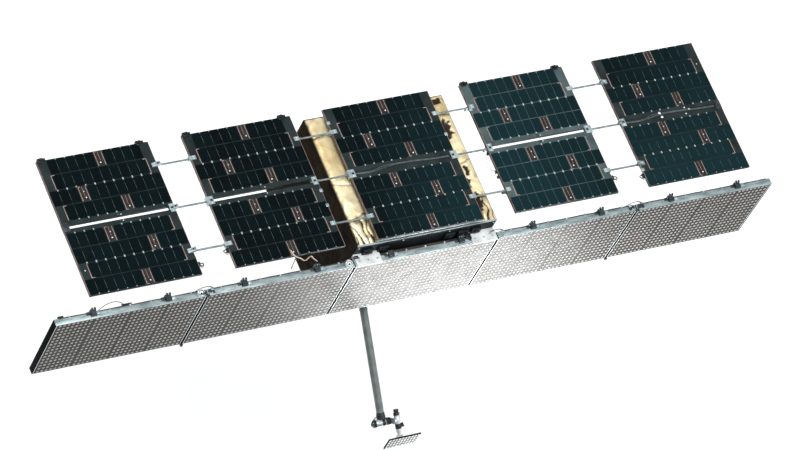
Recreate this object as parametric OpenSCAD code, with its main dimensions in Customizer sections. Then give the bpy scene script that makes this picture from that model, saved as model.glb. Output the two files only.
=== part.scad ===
// Radar satellite: a box bus, a flat antenna of five hinged panels along its front, five columns of
// solar panels on its top, and a small steerable data antenna at the end of a boom.
// Millimetres. +X runs along the antenna, +Z is the side of the solar cells, and +Y points out of the
// launch ring. The origin is the centre of the launch ring's mating plane.

/* [Bus] */
// Width of the bus along X
bus_w = 630; // [520:5:636]
// Depth of the bus along Y
bus_d = 600; // [480:10:760]
// Height of the bus along Z
bus_h = 525; // [430:5:640]
// Thickness of the top deck
deck_t = 6; // [4:1:12]
// Thickness of the front panel
front_t = 5; // [3:1:10]

/* [Launch ring] */
// Height of the ring between the bus and its mating plane
ring_h = 40; // [30:1:60]
// Diameter of the ring's bolt circle
ring_pcd = 381; // [300:1:400]
// Number of bolt holes
ring_holes = 24; // [12:4:36]
// Radius of a bolt hole
ring_hole_r = 3.4; // [2.5:0.1:4.5]
// Thickness of each of the ring's two flanges
ring_flange_t = 8; // [6:1:12]

/* [Foil blankets] */
// Thickness of a blanket on a wall
foil_t = 3; // [2:0.5:3]
// Height of a blanket on the top deck
foil_top_h = 14; // [8:1:18]
// Width of a blanket on the top deck
foil_top_w = 98; // [70:1:110]
// Clearance between a blanket and the wall behind it
foil_gap = 0.3; // [0.2:0.1:0.5]

/* [Antenna] */
// Distance from the middle of one antenna panel to the next
panel_pitch = 650; // [640:5:780]
// Gap between two antenna panels
panel_gap = 4; // [3:0.5:6]
// Height of the antenna
panel_h = 376; // [300:2:440]
// Thickness of an antenna panel
panel_t = 28; // [20:1:30]
// Distance from the bus to the back of the middle panel
panel_standoff = 22; // [18:1:30]
// Depth of the antenna's top edge below the top of the bus
panel_drop = 65; // [60:1:90]
// Distance of a rib from the middle of its panel
rib_offset = 160; // [120:5:190]
// Depth of a rib behind its panel
rib_d = 6; // [4:0.5:6]
// Width of a rib
rib_w = 24; // [16:1:36]

/* [Antenna hinges] */
// Distance of the inner hinge lines behind the panels
inner_hinge_out = 6; // [6:0.5:8]
// Distance of the outer hinge lines in front of the panels
outer_hinge_out = 3; // [2.5:0.5:4]
// Radius of the hinge pins
hinge_pin_r = 2; // [1.5:0.1:2.5]
// Radius of the inner hinges' knuckles
knuckle_r = 5; // [4:0.5:5.5]

/* [Solar array] */
// Width of a solar column along X
column_w = 479; // [420:1:500]
// Distance from the middle of one solar column to the next
column_pitch = 626; // [600:1:700]
// Depth of one half of a column along Y
half_d = 298; // [240:1:360]
// Gap between the two halves of a column
half_gap = 16; // [10:1:24]
// Thickness of a solar panel
solar_t = 12; // [8:1:14]
// Height of the solar panels' undersides above the top deck
solar_lift = 27; // [24:1:45]
// Shift of the solar array away from the antenna
solar_shift = 3; // [0:1:8]
// Distance of the outer rods from the middle of a column
rod_offset = 199; // [150:1:220]
// Radius of the rods between the columns
rod_r = 4; // [3:0.5:5]
// Drop of the inner hinge lines below the solar panels
inner_axis_drop = 10; // [9:0.5:14]
// Rise of the outer hinge lines above the solar panels
outer_axis_rise = 9; // [8:0.5:14]

/* [Boom] */
// Place of the boom along X
boom_x = -100; // [-200:5:200]
// Angle of the deployed boom below the horizontal
boom_angle = 30.5; // [20:0.5:60]
// Distance from the boom's root pin to the gimbal's axis
boom_reach = 500; // [400:5:560]
// Radius of the boom tube
boom_r = 16; // [10:0.5:18]
// Depth of the boom's root pin below the bus
boom_drop = 18; // [17:0.5:30]

/* [Data antenna] */
// Radius of the elevation motor
motor_r = 17; // [14:0.5:20]
// Length of the elevation motor
motor_l = 70; // [50:1:90]
// Distance of the azimuth motor's axis from the elevation axis
arm_rise = 40; // [32:1:60]
// Radius of the azimuth motor
azimuth_r = 12; // [9:0.5:14]
// Width of the data antenna
patch_w = 146; // [120:1:180]
// Height of the data antenna
patch_h = 76; // [60:1:100]
// Thickness of the data antenna
patch_t = 6; // [4:0.5:10]

/* [Hidden] */
$fn = 48;
eps = 0.01;

// Bus faces
bus_back = -ring_h;
bus_front = bus_back - bus_d;
bus_top = bus_h / 2;
bus_bottom = -bus_h / 2;

// Launch ring: flanges reach outward and inward from the bolt circle
ring_out = 12;
ring_in = 14;
ring_web_t = 6;
ring_outer_r = ring_pcd / 2 + ring_out;
ring_inner_r = ring_pcd / 2 - ring_in;
ring_web_r = ring_inner_r + ring_web_t;

// Blankets stop short of the bus's edges and of the ring
foil_margin = 3;
foil_ring_gap = 3;
foil_boom_gap = 3.5;

// Antenna faces
panel_back = bus_front - panel_standoff;
panel_front = panel_back - panel_t;
panel_top = bus_top - panel_drop;
panel_bottom = panel_top - panel_h;
panel_w = panel_pitch - panel_gap;

// Ribs reach past the panel's edges and wrap round them
rib_top_over = 14;
rib_bottom_over = 8;
rib_foot = 20;

// Hinge lines of the antenna
inner_seam_x = panel_pitch / 2;
outer_seam_x = panel_pitch * 3 / 2;
inner_axis_y = panel_back + inner_hinge_out;
outer_axis_y = panel_front - outer_hinge_out;

// Inner antenna hinges
pin_clearance = 0.05;
knuckle_gap = 0.5;
knuckle_mid_l = 20;
knuckle_end_l = 15;
leaf_t = 3;
leaf_w = 34;
hinge_inset = 45;
leaf_setback = 6;

// Middle heights of the two inner hinges
hinge_heights = [panel_bottom + hinge_inset, panel_top - hinge_inset];
hinge_l = knuckle_mid_l + 2 * knuckle_end_l + 2 * knuckle_gap;

// Outer antenna hinges
lug_t = 4;
lug_gap = 0.5;
lug_r = 6;
lug_neck = 0.7;
lug_pad_near = 10;
lug_pad_far = 34;
lug_pad_in = 6;
lug_pad_d = 18;
lug_pad_step = 2;
lug_fixed_z = lug_gap;
lug_moving_z = lug_fixed_z + lug_t + lug_gap;

// Brackets of the middle panel
bracket_in = 205;
bracket_out = 318;
bracket_cap_t = 5;
bracket_cap_over = 6;
bracket_h = 26;
bracket_inset = 30;

// Solar array
solar_bottom = bus_top + solar_lift;
solar_top = solar_bottom + solar_t;
solar_mid = solar_bottom + solar_t / 2;
solar_y = (bus_front + bus_back) / 2 + solar_shift;
half_off = (half_d + half_gap) / 2;
column_edge = column_w / 2;
rod_places = [-rod_offset, 0, rod_offset];
strip_sink = 3;
standoff_r = 8;
standoff_x = 180;

// Solar hinges and sockets
clip_t = 2.5;
clip_l = 22;
clip_w = 18;
splice_w = 36;
socket_l = 8;
edge_clearance = 2.5;
inner_axis_in = 10;
arm_r = 5;
arm_t = 8;
arm_w = 8;
ear_neck = 0.8;
ear_foot = 0.6;
ear_t = 4;
ear_gap = 0.5;
solar_pin_r = 2;
outer_axis_back = 7.5;
inner_hinge_x = column_pitch - column_edge + inner_axis_in;
inner_hinge_z = solar_bottom - inner_axis_drop;
outer_hinge_x = 2 * column_pitch - column_edge - outer_axis_back;
outer_hinge_z = solar_top + outer_axis_rise;

// Boom
boom_inset = 24;
boom_y = bus_front + boom_inset;
boom_z = bus_bottom - boom_drop;
tongue_w = 28;
tongue_r = 10;
tongue_l = 25;
boom_pin_r = 4;
bracket_ear_t = 6;
bracket_ear_r = 12;
bracket_plate_t = 4;
side_gap = 0.5;
collar_l = 20;
collar_wall = 3;
collar_over = 4;
tube_end = boom_reach - motor_r - collar_l + collar_over;
boom_ear_in = tongue_w / 2 + side_gap;
boom_plate_rim = 4;
boom_plate_w = 2 * (boom_ear_in + bracket_ear_t + boom_plate_rim);
boom_plate_d = 2 * boom_inset;

// Gimbal
rotor_t = 6;
rotor_r = 14;
rotor_shaft_r = 5;
rotor_shaft_l = 12;
azimuth_sink = 2;
azimuth_back = 33;
azimuth_l = 83;
knob_r = 8;
knob_l = 11;
output_r = 9;
output_gap = 0.5;
output_l = 9;
output_shaft_r = 4;
output_shaft_l = 8;
patch_x = 70;
mount_w = 24;
mount_h = 30;
mount_t = 12;

// Middle of the arm plate and of the azimuth motor along X, from the boom's middle
arm_x = motor_l / 2 + output_gap;
azimuth_x = arm_x + rotor_t + azimuth_r - azimuth_sink;

// The azimuth axis meets the back of the data antenna this far out along the boom
axis_y0 = boom_y - boom_reach * cos(boom_angle) - arm_rise * sin(boom_angle);
axis_z0 = boom_z - boom_reach * sin(boom_angle) + arm_rise * cos(boom_angle);
patch_out = 71;
patch_back = axis_y0 - patch_out * cos(boom_angle);
patch_hit_z = axis_z0 - patch_out * sin(boom_angle);
patch_top_over = 9;

// ---------------------------------------------------------------- helpers

// Children turned so that what was drawn in X-Y and extruded along Z lies in X-Z, extruded along +Y
module along_y() { rotate([-90, 0, 0]) children(); }

// A profile drawn in Y-Z, extruded along +X from x by l
module profile_x(x, l) {
    translate([x, 0, 0]) rotate([90, 0, 90]) linear_extrude(l) children();
}

// A profile drawn in X-Z, extruded along +Y from y by l
module profile_y(y, l) {
    translate([0, y + l, 0]) rotate([90, 0, 0]) linear_extrude(l) children();
}

// A block from its lowest to its highest corner
module block(low, high) {
    translate(low) cube(high - low);
}

// Children on the right side when side is 1, mirrored to the left when it is -1
module on_side(side) {
    mirror([side < 0 ? 1 : 0, 0, 0]) children();
}

// Children in the boom's own axes: X as the satellite's, Y out along the boom, Z square to both,
// with the origin at the root pin
module on_boom() {
    translate([boom_x, boom_y, boom_z]) rotate([boom_angle, 0, 0]) mirror([0, 1, 0]) children();
}

// Children in the gimbal's axes: as the boom's, with the origin on the elevation axis
module on_gimbal() {
    on_boom() translate([0, boom_reach, 0]) children();
}

// ---------------------------------------------------------------- bus

module bus_body() {
    color("dimgray")
        block([-bus_w / 2, bus_front + front_t, bus_bottom], [bus_w / 2, bus_back, bus_top - deck_t]);
}

module top_deck() {
    color("darkgray")
        block([-bus_w / 2, bus_front, bus_top - deck_t], [bus_w / 2, bus_back, bus_top]);
}

module front_panel() {
    color([0.03, 0.03, 0.04])
        block([-bus_w / 2, bus_front, bus_bottom], [bus_w / 2, bus_front + front_t, bus_top - deck_t]);
}

module launch_ring() {
    color("silver")
        difference() {
            along_y() mirror([0, 0, 1]) rotate_extrude($fn = 96)
                polygon([[ring_inner_r, 0], [ring_outer_r, 0], [ring_outer_r, ring_flange_t],
                         [ring_web_r, ring_flange_t], [ring_web_r, ring_h - ring_flange_t],
                         [ring_outer_r, ring_h - ring_flange_t], [ring_outer_r, ring_h], [ring_inner_r, ring_h]]);
            for (i = [0 : ring_holes - 1])
                rotate([0, i * 360 / ring_holes, 0])
                    translate([ring_pcd / 2, -ring_flange_t - 1, 0])
                        along_y() cylinder(r = ring_hole_r, h = ring_flange_t + 2, $fn = 24);
        }
}

// ---------------------------------------------------------------- foil blankets

module foil_side(side) {
    near = bus_w / 2 + foil_gap;
    color("goldenrod") on_side(side)
        block([near, bus_front + foil_margin, bus_bottom + foil_margin],
              [near + foil_t, bus_back - foil_margin, bus_top - foil_margin]);
}

module foil_top(side) {
    color("gold") on_side(side)
        block([bus_w / 2 - foil_margin / 2 - foil_top_w, bus_front + foil_margin, bus_top + foil_gap],
              [bus_w / 2 - foil_margin / 2, bus_back - foil_margin, bus_top + foil_gap + foil_top_h]);
}

module foil_back() {
    color("goldenrod")
        difference() {
            block([-bus_w / 2 + foil_margin, bus_back + foil_gap, bus_bottom + foil_margin],
                  [bus_w / 2 - foil_margin, bus_back + foil_gap + foil_t, bus_top - foil_margin]);
            translate([0, bus_back - 1, 0]) along_y()
                cylinder(r = ring_outer_r + foil_ring_gap, h = foil_t + 3, $fn = 96);
        }
}

module foil_bottom() {
    cut_x = boom_plate_w / 2 + foil_boom_gap;
    cut_y = boom_plate_d + foil_boom_gap;
    color("goldenrod")
        difference() {
            block([-bus_w / 2 + foil_margin, bus_front + foil_margin, bus_bottom - foil_gap - foil_t],
                  [bus_w / 2 - foil_margin, bus_back - foil_margin, bus_bottom - foil_gap]);
            block([boom_x - cut_x, bus_front - 1, bus_bottom - foil_t - 2],
                  [boom_x + cut_x, bus_front + cut_y, bus_bottom + 1]);
        }
}

// ---------------------------------------------------------------- antenna

module antenna_panel(i) {
    x = (i - 3) * panel_pitch;
    color([0.55, 0.53, 0.5])
        block([x - panel_w / 2, panel_front, panel_bottom], [x + panel_w / 2, panel_back, panel_top]);
}

// A rib down the back of a panel with a foot over its top and its bottom edge
module rib(x) {
    profile_x(x - rib_w / 2, rib_w)
        polygon([[panel_back, panel_bottom],
                 [panel_back - rib_foot, panel_bottom], [panel_back - rib_foot, panel_bottom - rib_bottom_over],
                 [panel_back + rib_d, panel_bottom - rib_bottom_over],
                 [panel_back + rib_d, panel_top + rib_top_over],
                 [panel_back - rib_foot, panel_top + rib_top_over], [panel_back - rib_foot, panel_top],
                 [panel_back, panel_top]]);
}

// The leaf on the middle panel, with the middle knuckle and the pin, for the right seam
module inner_hinge_base(z) {
    x = inner_seam_x;
    difference() {
        union() {
            block([x - leaf_setback - leaf_w, panel_back, z - hinge_l / 2],
                  [x - leaf_setback, panel_back + leaf_t, z + hinge_l / 2]);
            block([x - leaf_setback - 1, panel_back, z - knuckle_mid_l / 2],
                  [x, panel_back + leaf_t, z + knuckle_mid_l / 2]);
            translate([x, inner_axis_y, z - knuckle_mid_l / 2]) cylinder(r = knuckle_r, h = knuckle_mid_l);
            translate([x, inner_axis_y, z - hinge_l / 2]) cylinder(r = hinge_pin_r, h = hinge_l);
        }
        block([x + eps, panel_back - 1, z - hinge_l], [x + leaf_w, panel_back + 0.5, z + hinge_l]);
    }
}

// The leaf on the moving panel, with the two end knuckles, for the right seam
module inner_hinge_leaf(z) {
    x = inner_seam_x;
    difference() {
        union() {
            block([x + leaf_setback, panel_back, z - hinge_l / 2],
                  [x + leaf_setback + leaf_w, panel_back + leaf_t, z + hinge_l / 2]);
            for (end = [-1, 1])
                translate([x, inner_axis_y, z + end * (hinge_l - knuckle_end_l) / 2]) {
                    cylinder(r = knuckle_r, h = knuckle_end_l, center = true);
                    translate([0, -inner_hinge_out, -knuckle_end_l / 2])
                        cube([leaf_setback + 1, leaf_t, knuckle_end_l]);
                }
        }
        translate([x, inner_axis_y, z - hinge_l]) cylinder(r = hinge_pin_r + pin_clearance, h = 2 * hinge_l);
    }
}

// A flat lug over the right outer seam's hinge line, on the panel to the left (dir -1) or right (dir 1)
module outer_lug_shape(dir) {
    neck = lug_neck * lug_r;
    translate([outer_seam_x, outer_axis_y]) circle(r = lug_r);
    polygon([[outer_seam_x - neck, outer_axis_y - dir * neck],
             [outer_seam_x + neck, outer_axis_y + dir * neck],
             [outer_seam_x + dir * lug_pad_far, panel_front + lug_pad_in + lug_pad_d],
             [outer_seam_x + dir * lug_pad_near, panel_front + lug_pad_in + lug_pad_d]]);
    outer_lug_foot(dir, 0);
}

// The foot of a lug on its panel's edge, narrower by step on the side of the seam
module outer_lug_foot(dir, step) {
    foot_x = outer_seam_x + (dir > 0 ? lug_pad_near + step : -lug_pad_far);
    translate([foot_x, panel_front + lug_pad_in]) square([lug_pad_far - lug_pad_near - step, lug_pad_d]);
}

// The lug of the inner panel at an edge: face is the edge's height, up is 1 at the top, -1 at the bottom
module outer_lug_fixed(face, up) {
    translate([0, 0, face]) mirror([0, 0, up < 0 ? 1 : 0]) {
        linear_extrude(lug_fixed_z + eps) outer_lug_foot(-1, lug_pad_step);
        translate([0, 0, lug_fixed_z]) linear_extrude(lug_t) outer_lug_shape(-1);
        translate([outer_seam_x, outer_axis_y, lug_fixed_z])
            cylinder(r = hinge_pin_r, h = lug_moving_z + lug_t - lug_fixed_z);
    }
}

// The lug of the outer panel, which lies over the inner panel's lug
module outer_lug_moving(face, up) {
    translate([0, 0, face]) mirror([0, 0, up < 0 ? 1 : 0])
        difference() {
            union() {
                linear_extrude(lug_moving_z + eps) outer_lug_foot(1, lug_pad_step);
                translate([0, 0, lug_moving_z]) linear_extrude(lug_t) outer_lug_shape(1);
            }
            translate([outer_seam_x, outer_axis_y, 0])
                cylinder(r = hinge_pin_r + pin_clearance, h = lug_moving_z + 2 * lug_t);
        }
}

module panel_fittings(i) {
    x = (i - 3) * panel_pitch;
    side = i < 3 ? -1 : 1;
    color("slategray") {
        for (dir = [-1, 1]) rib(x + dir * rib_offset);
        on_side(side) {
            if (i == 2 || i == 4) {
                for (z = hinge_heights) inner_hinge_leaf(z);
                outer_lug_fixed(panel_top, 1);
                outer_lug_fixed(panel_bottom, -1);
            }
            if (i == 1 || i == 5) {
                outer_lug_moving(panel_top, 1);
                outer_lug_moving(panel_bottom, -1);
            }
        }
    }
}

module antenna_hinge_bases() {
    color("slategray")
        for (side = [-1, 1], z = hinge_heights) on_side(side) inner_hinge_base(z);
}

// Four brackets that hold the middle panel: the upper two reach over its top edge
module antenna_brackets() {
    color("lightgray")
        for (side = [-1, 1]) on_side(side) {
            profile_x(bracket_in, bracket_out - bracket_in)
                polygon([[panel_back, panel_top - bracket_h / 2], [bus_front, panel_top - bracket_h / 2],
                         [bus_front, panel_top + bracket_cap_t],
                         [panel_front - bracket_cap_over, panel_top + bracket_cap_t],
                         [panel_front - bracket_cap_over, panel_top], [panel_back, panel_top]]);
            block([bracket_in, panel_back, panel_bottom + bracket_inset],
                  [bracket_out - leaf_w - leaf_setback, bus_front, panel_bottom + bracket_inset + bracket_h]);
        }
}

// ---------------------------------------------------------------- solar array

// Columns 3 and 5 carry a wiring strip in the gap between their halves
function has_strip(i) = i == 3 || i == 5;

module solar_panel(i) {
    x = (i - 3) * column_pitch;
    color([0.02, 0.06, 0.08]) {
        for (half = [-1, 1])
            block([x - column_edge, solar_y + half * half_off - half_d / 2, solar_bottom],
                  [x + column_edge, solar_y + half * half_off + half_d / 2, solar_top]);
        if (has_strip(i))
            block([x - column_edge, solar_y - half_gap / 2 - eps, solar_bottom],
                  [x + column_edge, solar_y + half_gap / 2 + eps, solar_top - strip_sink]);
    }
}

module solar_standoffs() {
    color("darkgray")
        for (dir = [-1, 1], y = rod_places)
            translate([dir * standoff_x, solar_y + y, bus_top]) cylinder(r = standoff_r, h = solar_lift);
}

// A plate on the panel's top and one below it, joined round its edge at x = 0, for a panel on the left
// of the edge
module edge_clip(w) {
    difference() {
        block([-clip_l, -w / 2, solar_bottom - clip_t], [socket_l, w / 2, solar_top + clip_t]);
        block([-clip_l - 1, -w / 2 - 1, solar_bottom], [0, w / 2 + 1, solar_top]);
    }
}

// Width of the clip at a rod: the middle one also joins the two halves
function clip_width(y) = y == 0 ? splice_w : clip_w;

// Clips with rod sockets at a column's outer edge, right side
module rod_sockets(x) {
    for (y = rod_places) translate([x, solar_y + y, 0]) edge_clip(clip_width(y));
}

// Clip at a column's inner edge with two ears under the panel, right side: the edge is at x
module inner_ears(x, y) {
    span = arm_t / 2 + ear_gap;
    low = inner_hinge_z;
    difference() {
        union() {
            block([x, solar_y + y - clip_width(y) / 2, solar_bottom - clip_t],
                  [x + clip_l, solar_y + y + clip_width(y) / 2, solar_bottom]);
            block([x, solar_y + y - clip_width(y) / 2, solar_top],
                  [x + clip_l, solar_y + y + clip_width(y) / 2, solar_top + clip_t]);
            for (dir = [-1, 1])
                profile_y(solar_y + y + (dir > 0 ? span : -span - ear_t), ear_t) {
                    translate([inner_hinge_x, low]) circle(r = arm_r);
                    translate([inner_hinge_x - arm_r, low]) square([2 * arm_r, inner_axis_drop - clip_t / 2]);
                }
        }
        translate([inner_hinge_x, solar_y + y - clip_w, low])
            along_y() cylinder(r = solar_pin_r + pin_clearance, h = 2 * clip_w);
    }
}

// Clip at a column's inner edge with two ears above the panel, right side: the edge is at x
module outer_ears(x, y) {
    span = arm_t / 2 + ear_gap;
    high = outer_hinge_z;
    difference() {
        union() {
            for (face = [solar_bottom - clip_t, solar_top])
                block([x, solar_y + y - clip_width(y) / 2, face],
                      [x + clip_l, solar_y + y + clip_width(y) / 2, face + clip_t]);
            for (dir = [-1, 1])
                profile_y(solar_y + y + (dir > 0 ? span : -span - ear_t), ear_t) {
                    translate([outer_hinge_x, high]) circle(r = arm_r);
                    polygon([[outer_hinge_x, high + arm_r],
                             [outer_hinge_x - arm_r * ear_neck, high - arm_r * ear_foot],
                             [x, solar_top], [x + clip_l, solar_top], [x + clip_l, solar_top + clip_t]]);
                }
        }
        translate([outer_hinge_x, solar_y + y - clip_w, high])
            along_y() cylinder(r = solar_pin_r + pin_clearance, h = 2 * clip_w);
    }
}

// Splice plates that join the two halves at a column's free edge
module splice(x) {
    for (face = [solar_bottom - clip_t, solar_top])
        block([x - clip_l, solar_y - splice_w / 2, face], [x, solar_y + splice_w / 2, face + clip_t]);
}

module solar_brackets(i) {
    color("silver")
        if (i == 3) {
            for (side = [-1, 1]) on_side(side) rod_sockets(column_edge);
        } else {
            on_side(i < 3 ? -1 : 1) {
                if (i == 2 || i == 4) {
                    for (y = rod_places) inner_ears(column_pitch - column_edge, y);
                    rod_sockets(column_pitch + column_edge);
                } else {
                    for (y = rod_places) outer_ears(2 * column_pitch - column_edge, y);
                    splice(2 * column_pitch + column_edge);
                }
            }
        }
}

// A rod from a socket, with an arm down to the inner hinge line and its pin, right side
module inner_rod(y) {
    start = column_edge + socket_l;
    end = column_pitch - column_edge - edge_clearance;
    translate([start, solar_y + y, solar_mid]) rotate([0, 90, 0]) cylinder(r = rod_r, h = end - start - arm_w / 2);
    profile_y(solar_y + y - arm_t / 2, arm_t) {
        translate([end - arm_w, inner_hinge_z - arm_r]) square([arm_w, solar_mid + rod_r - inner_hinge_z + arm_r]);
        translate([end - arm_w, inner_hinge_z - arm_r]) square([inner_hinge_x - end + arm_w, 2 * arm_r]);
        translate([inner_hinge_x, inner_hinge_z]) circle(r = arm_r);
    }
    pin_l = arm_t + 2 * (ear_gap + ear_t);
    translate([inner_hinge_x, solar_y + y - pin_l / 2, inner_hinge_z])
        along_y() cylinder(r = solar_pin_r, h = pin_l);
}

// A rod from a socket, with an arm up to the outer hinge line and its pin, right side
module outer_rod(y) {
    start = column_pitch + column_edge + socket_l;
    end = outer_hinge_x;
    translate([start, solar_y + y, solar_mid]) rotate([0, 90, 0]) cylinder(r = rod_r, h = end - start);
    profile_y(solar_y + y - arm_t / 2, arm_t) {
        translate([end - arm_r, solar_mid - rod_r]) square([2 * arm_r, outer_hinge_z - solar_mid + rod_r]);
        translate([end, outer_hinge_z]) circle(r = arm_r);
    }
    pin_l = arm_t + 2 * (ear_gap + ear_t);
    translate([outer_hinge_x, solar_y + y - pin_l / 2, outer_hinge_z])
        along_y() cylinder(r = solar_pin_r, h = pin_l);
}

module solar_rods(side, ring) {
    color("lightsteelblue") on_side(side)
        for (y = rod_places)
            if (ring == "inner") inner_rod(y); else outer_rod(y);
}

// ---------------------------------------------------------------- boom and data antenna

module boom_bracket() {
    color("lightgray") {
        block([boom_x - boom_plate_w / 2, bus_front, bus_bottom - bracket_plate_t],
              [boom_x + boom_plate_w / 2, bus_front + boom_plate_d, bus_bottom]);
        for (dir = [-1, 1])
            profile_x(boom_x + (dir > 0 ? boom_ear_in : -boom_ear_in - bracket_ear_t), bracket_ear_t) {
                translate([boom_y, boom_z]) circle(r = bracket_ear_r);
                translate([boom_y - bracket_ear_r, boom_z]) square([2 * bracket_ear_r, boom_drop - eps]);
            }
        pin_l = 2 * (boom_ear_in + bracket_ear_t);
        translate([boom_x - pin_l / 2, boom_y, boom_z]) rotate([0, 90, 0]) cylinder(r = boom_pin_r, h = pin_l);
    }
}

module boom_tube() {
    color("slategray") on_boom()
        difference() {
            union() {
                rotate([0, 90, 0]) cylinder(r = tongue_r, h = tongue_w, center = true);
                block([-tongue_w / 2, 0, -tongue_r], [tongue_w / 2, tongue_l + 1, tongue_r]);
                translate([0, tongue_l, 0]) along_y() cylinder(r = boom_r, h = tube_end - tongue_l);
            }
            rotate([0, 90, 0]) cylinder(r = boom_pin_r + pin_clearance, h = tongue_w + 2, center = true);
        }
}

module gimbal_motor() {
    color("dimgray")
        difference() {
            union() {
                on_gimbal() rotate([0, 90, 0]) cylinder(r = motor_r, h = motor_l, center = true);
                on_boom() translate([0, tube_end, 0]) along_y() cylinder(r = boom_r + collar_wall, h = collar_l);
            }
            on_gimbal() translate([motor_l / 2 - rotor_shaft_l - 1, 0, 0])
                rotate([0, 90, 0]) cylinder(r = rotor_shaft_r + pin_clearance, h = rotor_shaft_l + 2);
        }
}

module gimbal_arm() {
    color("gray") on_gimbal() {
        difference() {
            union() {
                translate([arm_x - rotor_shaft_l, 0, 0])
                    rotate([0, 90, 0]) cylinder(r = rotor_shaft_r, h = rotor_shaft_l + 1);
                profile_x(arm_x, rotor_t) {
                    circle(r = rotor_r);
                    translate([0, arm_rise]) circle(r = azimuth_r);
                    translate([-azimuth_r, 0]) square([2 * azimuth_r, arm_rise]);
                }
                translate([azimuth_x, -azimuth_back, arm_rise]) along_y() cylinder(r = azimuth_r, h = azimuth_l);
                translate([azimuth_x, -azimuth_back - knob_l, arm_rise]) along_y() cylinder(r = knob_r, h = knob_l + 1);
            }
            translate([azimuth_x, azimuth_l - azimuth_back - output_shaft_l - 1, arm_rise])
                along_y() cylinder(r = output_shaft_r + pin_clearance, h = output_shaft_l + 2);
        }
    }
}

module patch_mount() {
    face = azimuth_l - azimuth_back;
    color("darkgray") {
        on_gimbal() translate([azimuth_x, 0, arm_rise]) along_y() {
            translate([0, 0, face - output_shaft_l]) cylinder(r = output_shaft_r, h = output_shaft_l + 2);
            translate([0, 0, face + output_gap]) cylinder(r = output_r, h = output_l);
        }
        block([boom_x + azimuth_x - mount_w / 2, patch_back, patch_hit_z - mount_h + patch_top_over],
              [boom_x + azimuth_x + mount_w / 2, patch_back + mount_t, patch_hit_z + patch_top_over]);
    }
}

module patch_antenna() {
    top = patch_hit_z + patch_top_over;
    x = boom_x + patch_x;
    color("white")
        block([x - patch_w / 2, patch_back - patch_t, top - patch_h], [x + patch_w / 2, patch_back, top]);
}

// ---------------------------------------------------------------- nodes

bus_body();
top_deck();
front_panel();
launch_ring();
foil_side(-1);  // foil_left
foil_side(1);  // foil_right
foil_back();
foil_bottom();
foil_top(-1);  // foil_top_left
foil_top(1);  // foil_top_right
antenna_brackets();
antenna_hinge_bases();
antenna_panel(1);  // antenna_panel_1
antenna_panel(2);  // antenna_panel_2
antenna_panel(3);  // antenna_panel_3
antenna_panel(4);  // antenna_panel_4
antenna_panel(5);  // antenna_panel_5
panel_fittings(1);  // panel_fittings_1
panel_fittings(2);  // panel_fittings_2
panel_fittings(3);  // panel_fittings_3
panel_fittings(4);  // panel_fittings_4
panel_fittings(5);  // panel_fittings_5
solar_standoffs();
solar_panel(1);  // solar_panel_1
solar_panel(2);  // solar_panel_2
solar_panel(3);  // solar_panel_3
solar_panel(4);  // solar_panel_4
solar_panel(5);  // solar_panel_5
solar_brackets(1);  // solar_brackets_1
solar_brackets(2);  // solar_brackets_2
solar_brackets(3);  // solar_brackets_3
solar_brackets(4);  // solar_brackets_4
solar_brackets(5);  // solar_brackets_5
solar_rods(-1, "outer");  // solar_rods_left_outer
solar_rods(-1, "inner");  // solar_rods_left_inner
solar_rods(1, "inner");  // solar_rods_right_inner
solar_rods(1, "outer");  // solar_rods_right_outer
boom_bracket();
boom_tube();
gimbal_motor();
gimbal_arm();
patch_mount();
patch_antenna();
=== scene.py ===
"""Looks of a small radar satellite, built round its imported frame.

Each sub-assembly is a class: its sizes are fields, and its methods build the meshes and dress the frame's
own nodes. Sizes are in metres and in the frame's axes: +X runs along the antenna, +Z is the side of the
solar cells, and +Y points out of the launch ring. Left is -X, near is -Y and far is +Y.
"""

import sys

import logging
import math
import random
from dataclasses import dataclass, field
from enum import Enum
from functools import cache
from typing import Callable, Iterable, Sequence

import bmesh
import bpy
from mathutils import Matrix, Vector, noise
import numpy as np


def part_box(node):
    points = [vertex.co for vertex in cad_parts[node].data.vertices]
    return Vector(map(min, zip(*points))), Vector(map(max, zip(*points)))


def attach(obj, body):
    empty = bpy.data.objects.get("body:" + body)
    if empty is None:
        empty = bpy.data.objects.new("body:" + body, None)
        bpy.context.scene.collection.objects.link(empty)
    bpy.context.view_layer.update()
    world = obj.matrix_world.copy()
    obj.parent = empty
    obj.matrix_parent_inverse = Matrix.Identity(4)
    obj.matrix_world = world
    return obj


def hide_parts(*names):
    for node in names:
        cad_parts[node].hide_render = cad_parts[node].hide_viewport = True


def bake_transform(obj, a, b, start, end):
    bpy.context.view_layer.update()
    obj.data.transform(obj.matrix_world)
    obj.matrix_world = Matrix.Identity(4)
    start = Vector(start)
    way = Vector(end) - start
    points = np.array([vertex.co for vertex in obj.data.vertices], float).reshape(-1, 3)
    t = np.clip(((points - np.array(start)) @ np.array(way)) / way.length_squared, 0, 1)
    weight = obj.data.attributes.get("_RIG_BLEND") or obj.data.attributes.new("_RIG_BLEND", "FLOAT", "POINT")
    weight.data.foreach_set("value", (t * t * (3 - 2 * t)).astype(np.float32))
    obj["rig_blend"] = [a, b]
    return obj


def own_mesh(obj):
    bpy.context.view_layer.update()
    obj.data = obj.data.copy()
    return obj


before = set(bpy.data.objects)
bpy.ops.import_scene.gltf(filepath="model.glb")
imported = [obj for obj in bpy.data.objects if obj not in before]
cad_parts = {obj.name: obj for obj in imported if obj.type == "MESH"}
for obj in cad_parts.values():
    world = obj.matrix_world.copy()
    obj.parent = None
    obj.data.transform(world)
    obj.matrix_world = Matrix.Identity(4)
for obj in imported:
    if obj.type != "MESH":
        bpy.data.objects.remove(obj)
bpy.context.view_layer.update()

Colour = tuple[float, float, float]
Point = tuple[float, float, float]
Scale = tuple[float, float, float]
Socket = bpy.types.NodeSocket

log = logging.getLogger("satellite")


# ---------------------------------------------------------------- finishes


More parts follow.
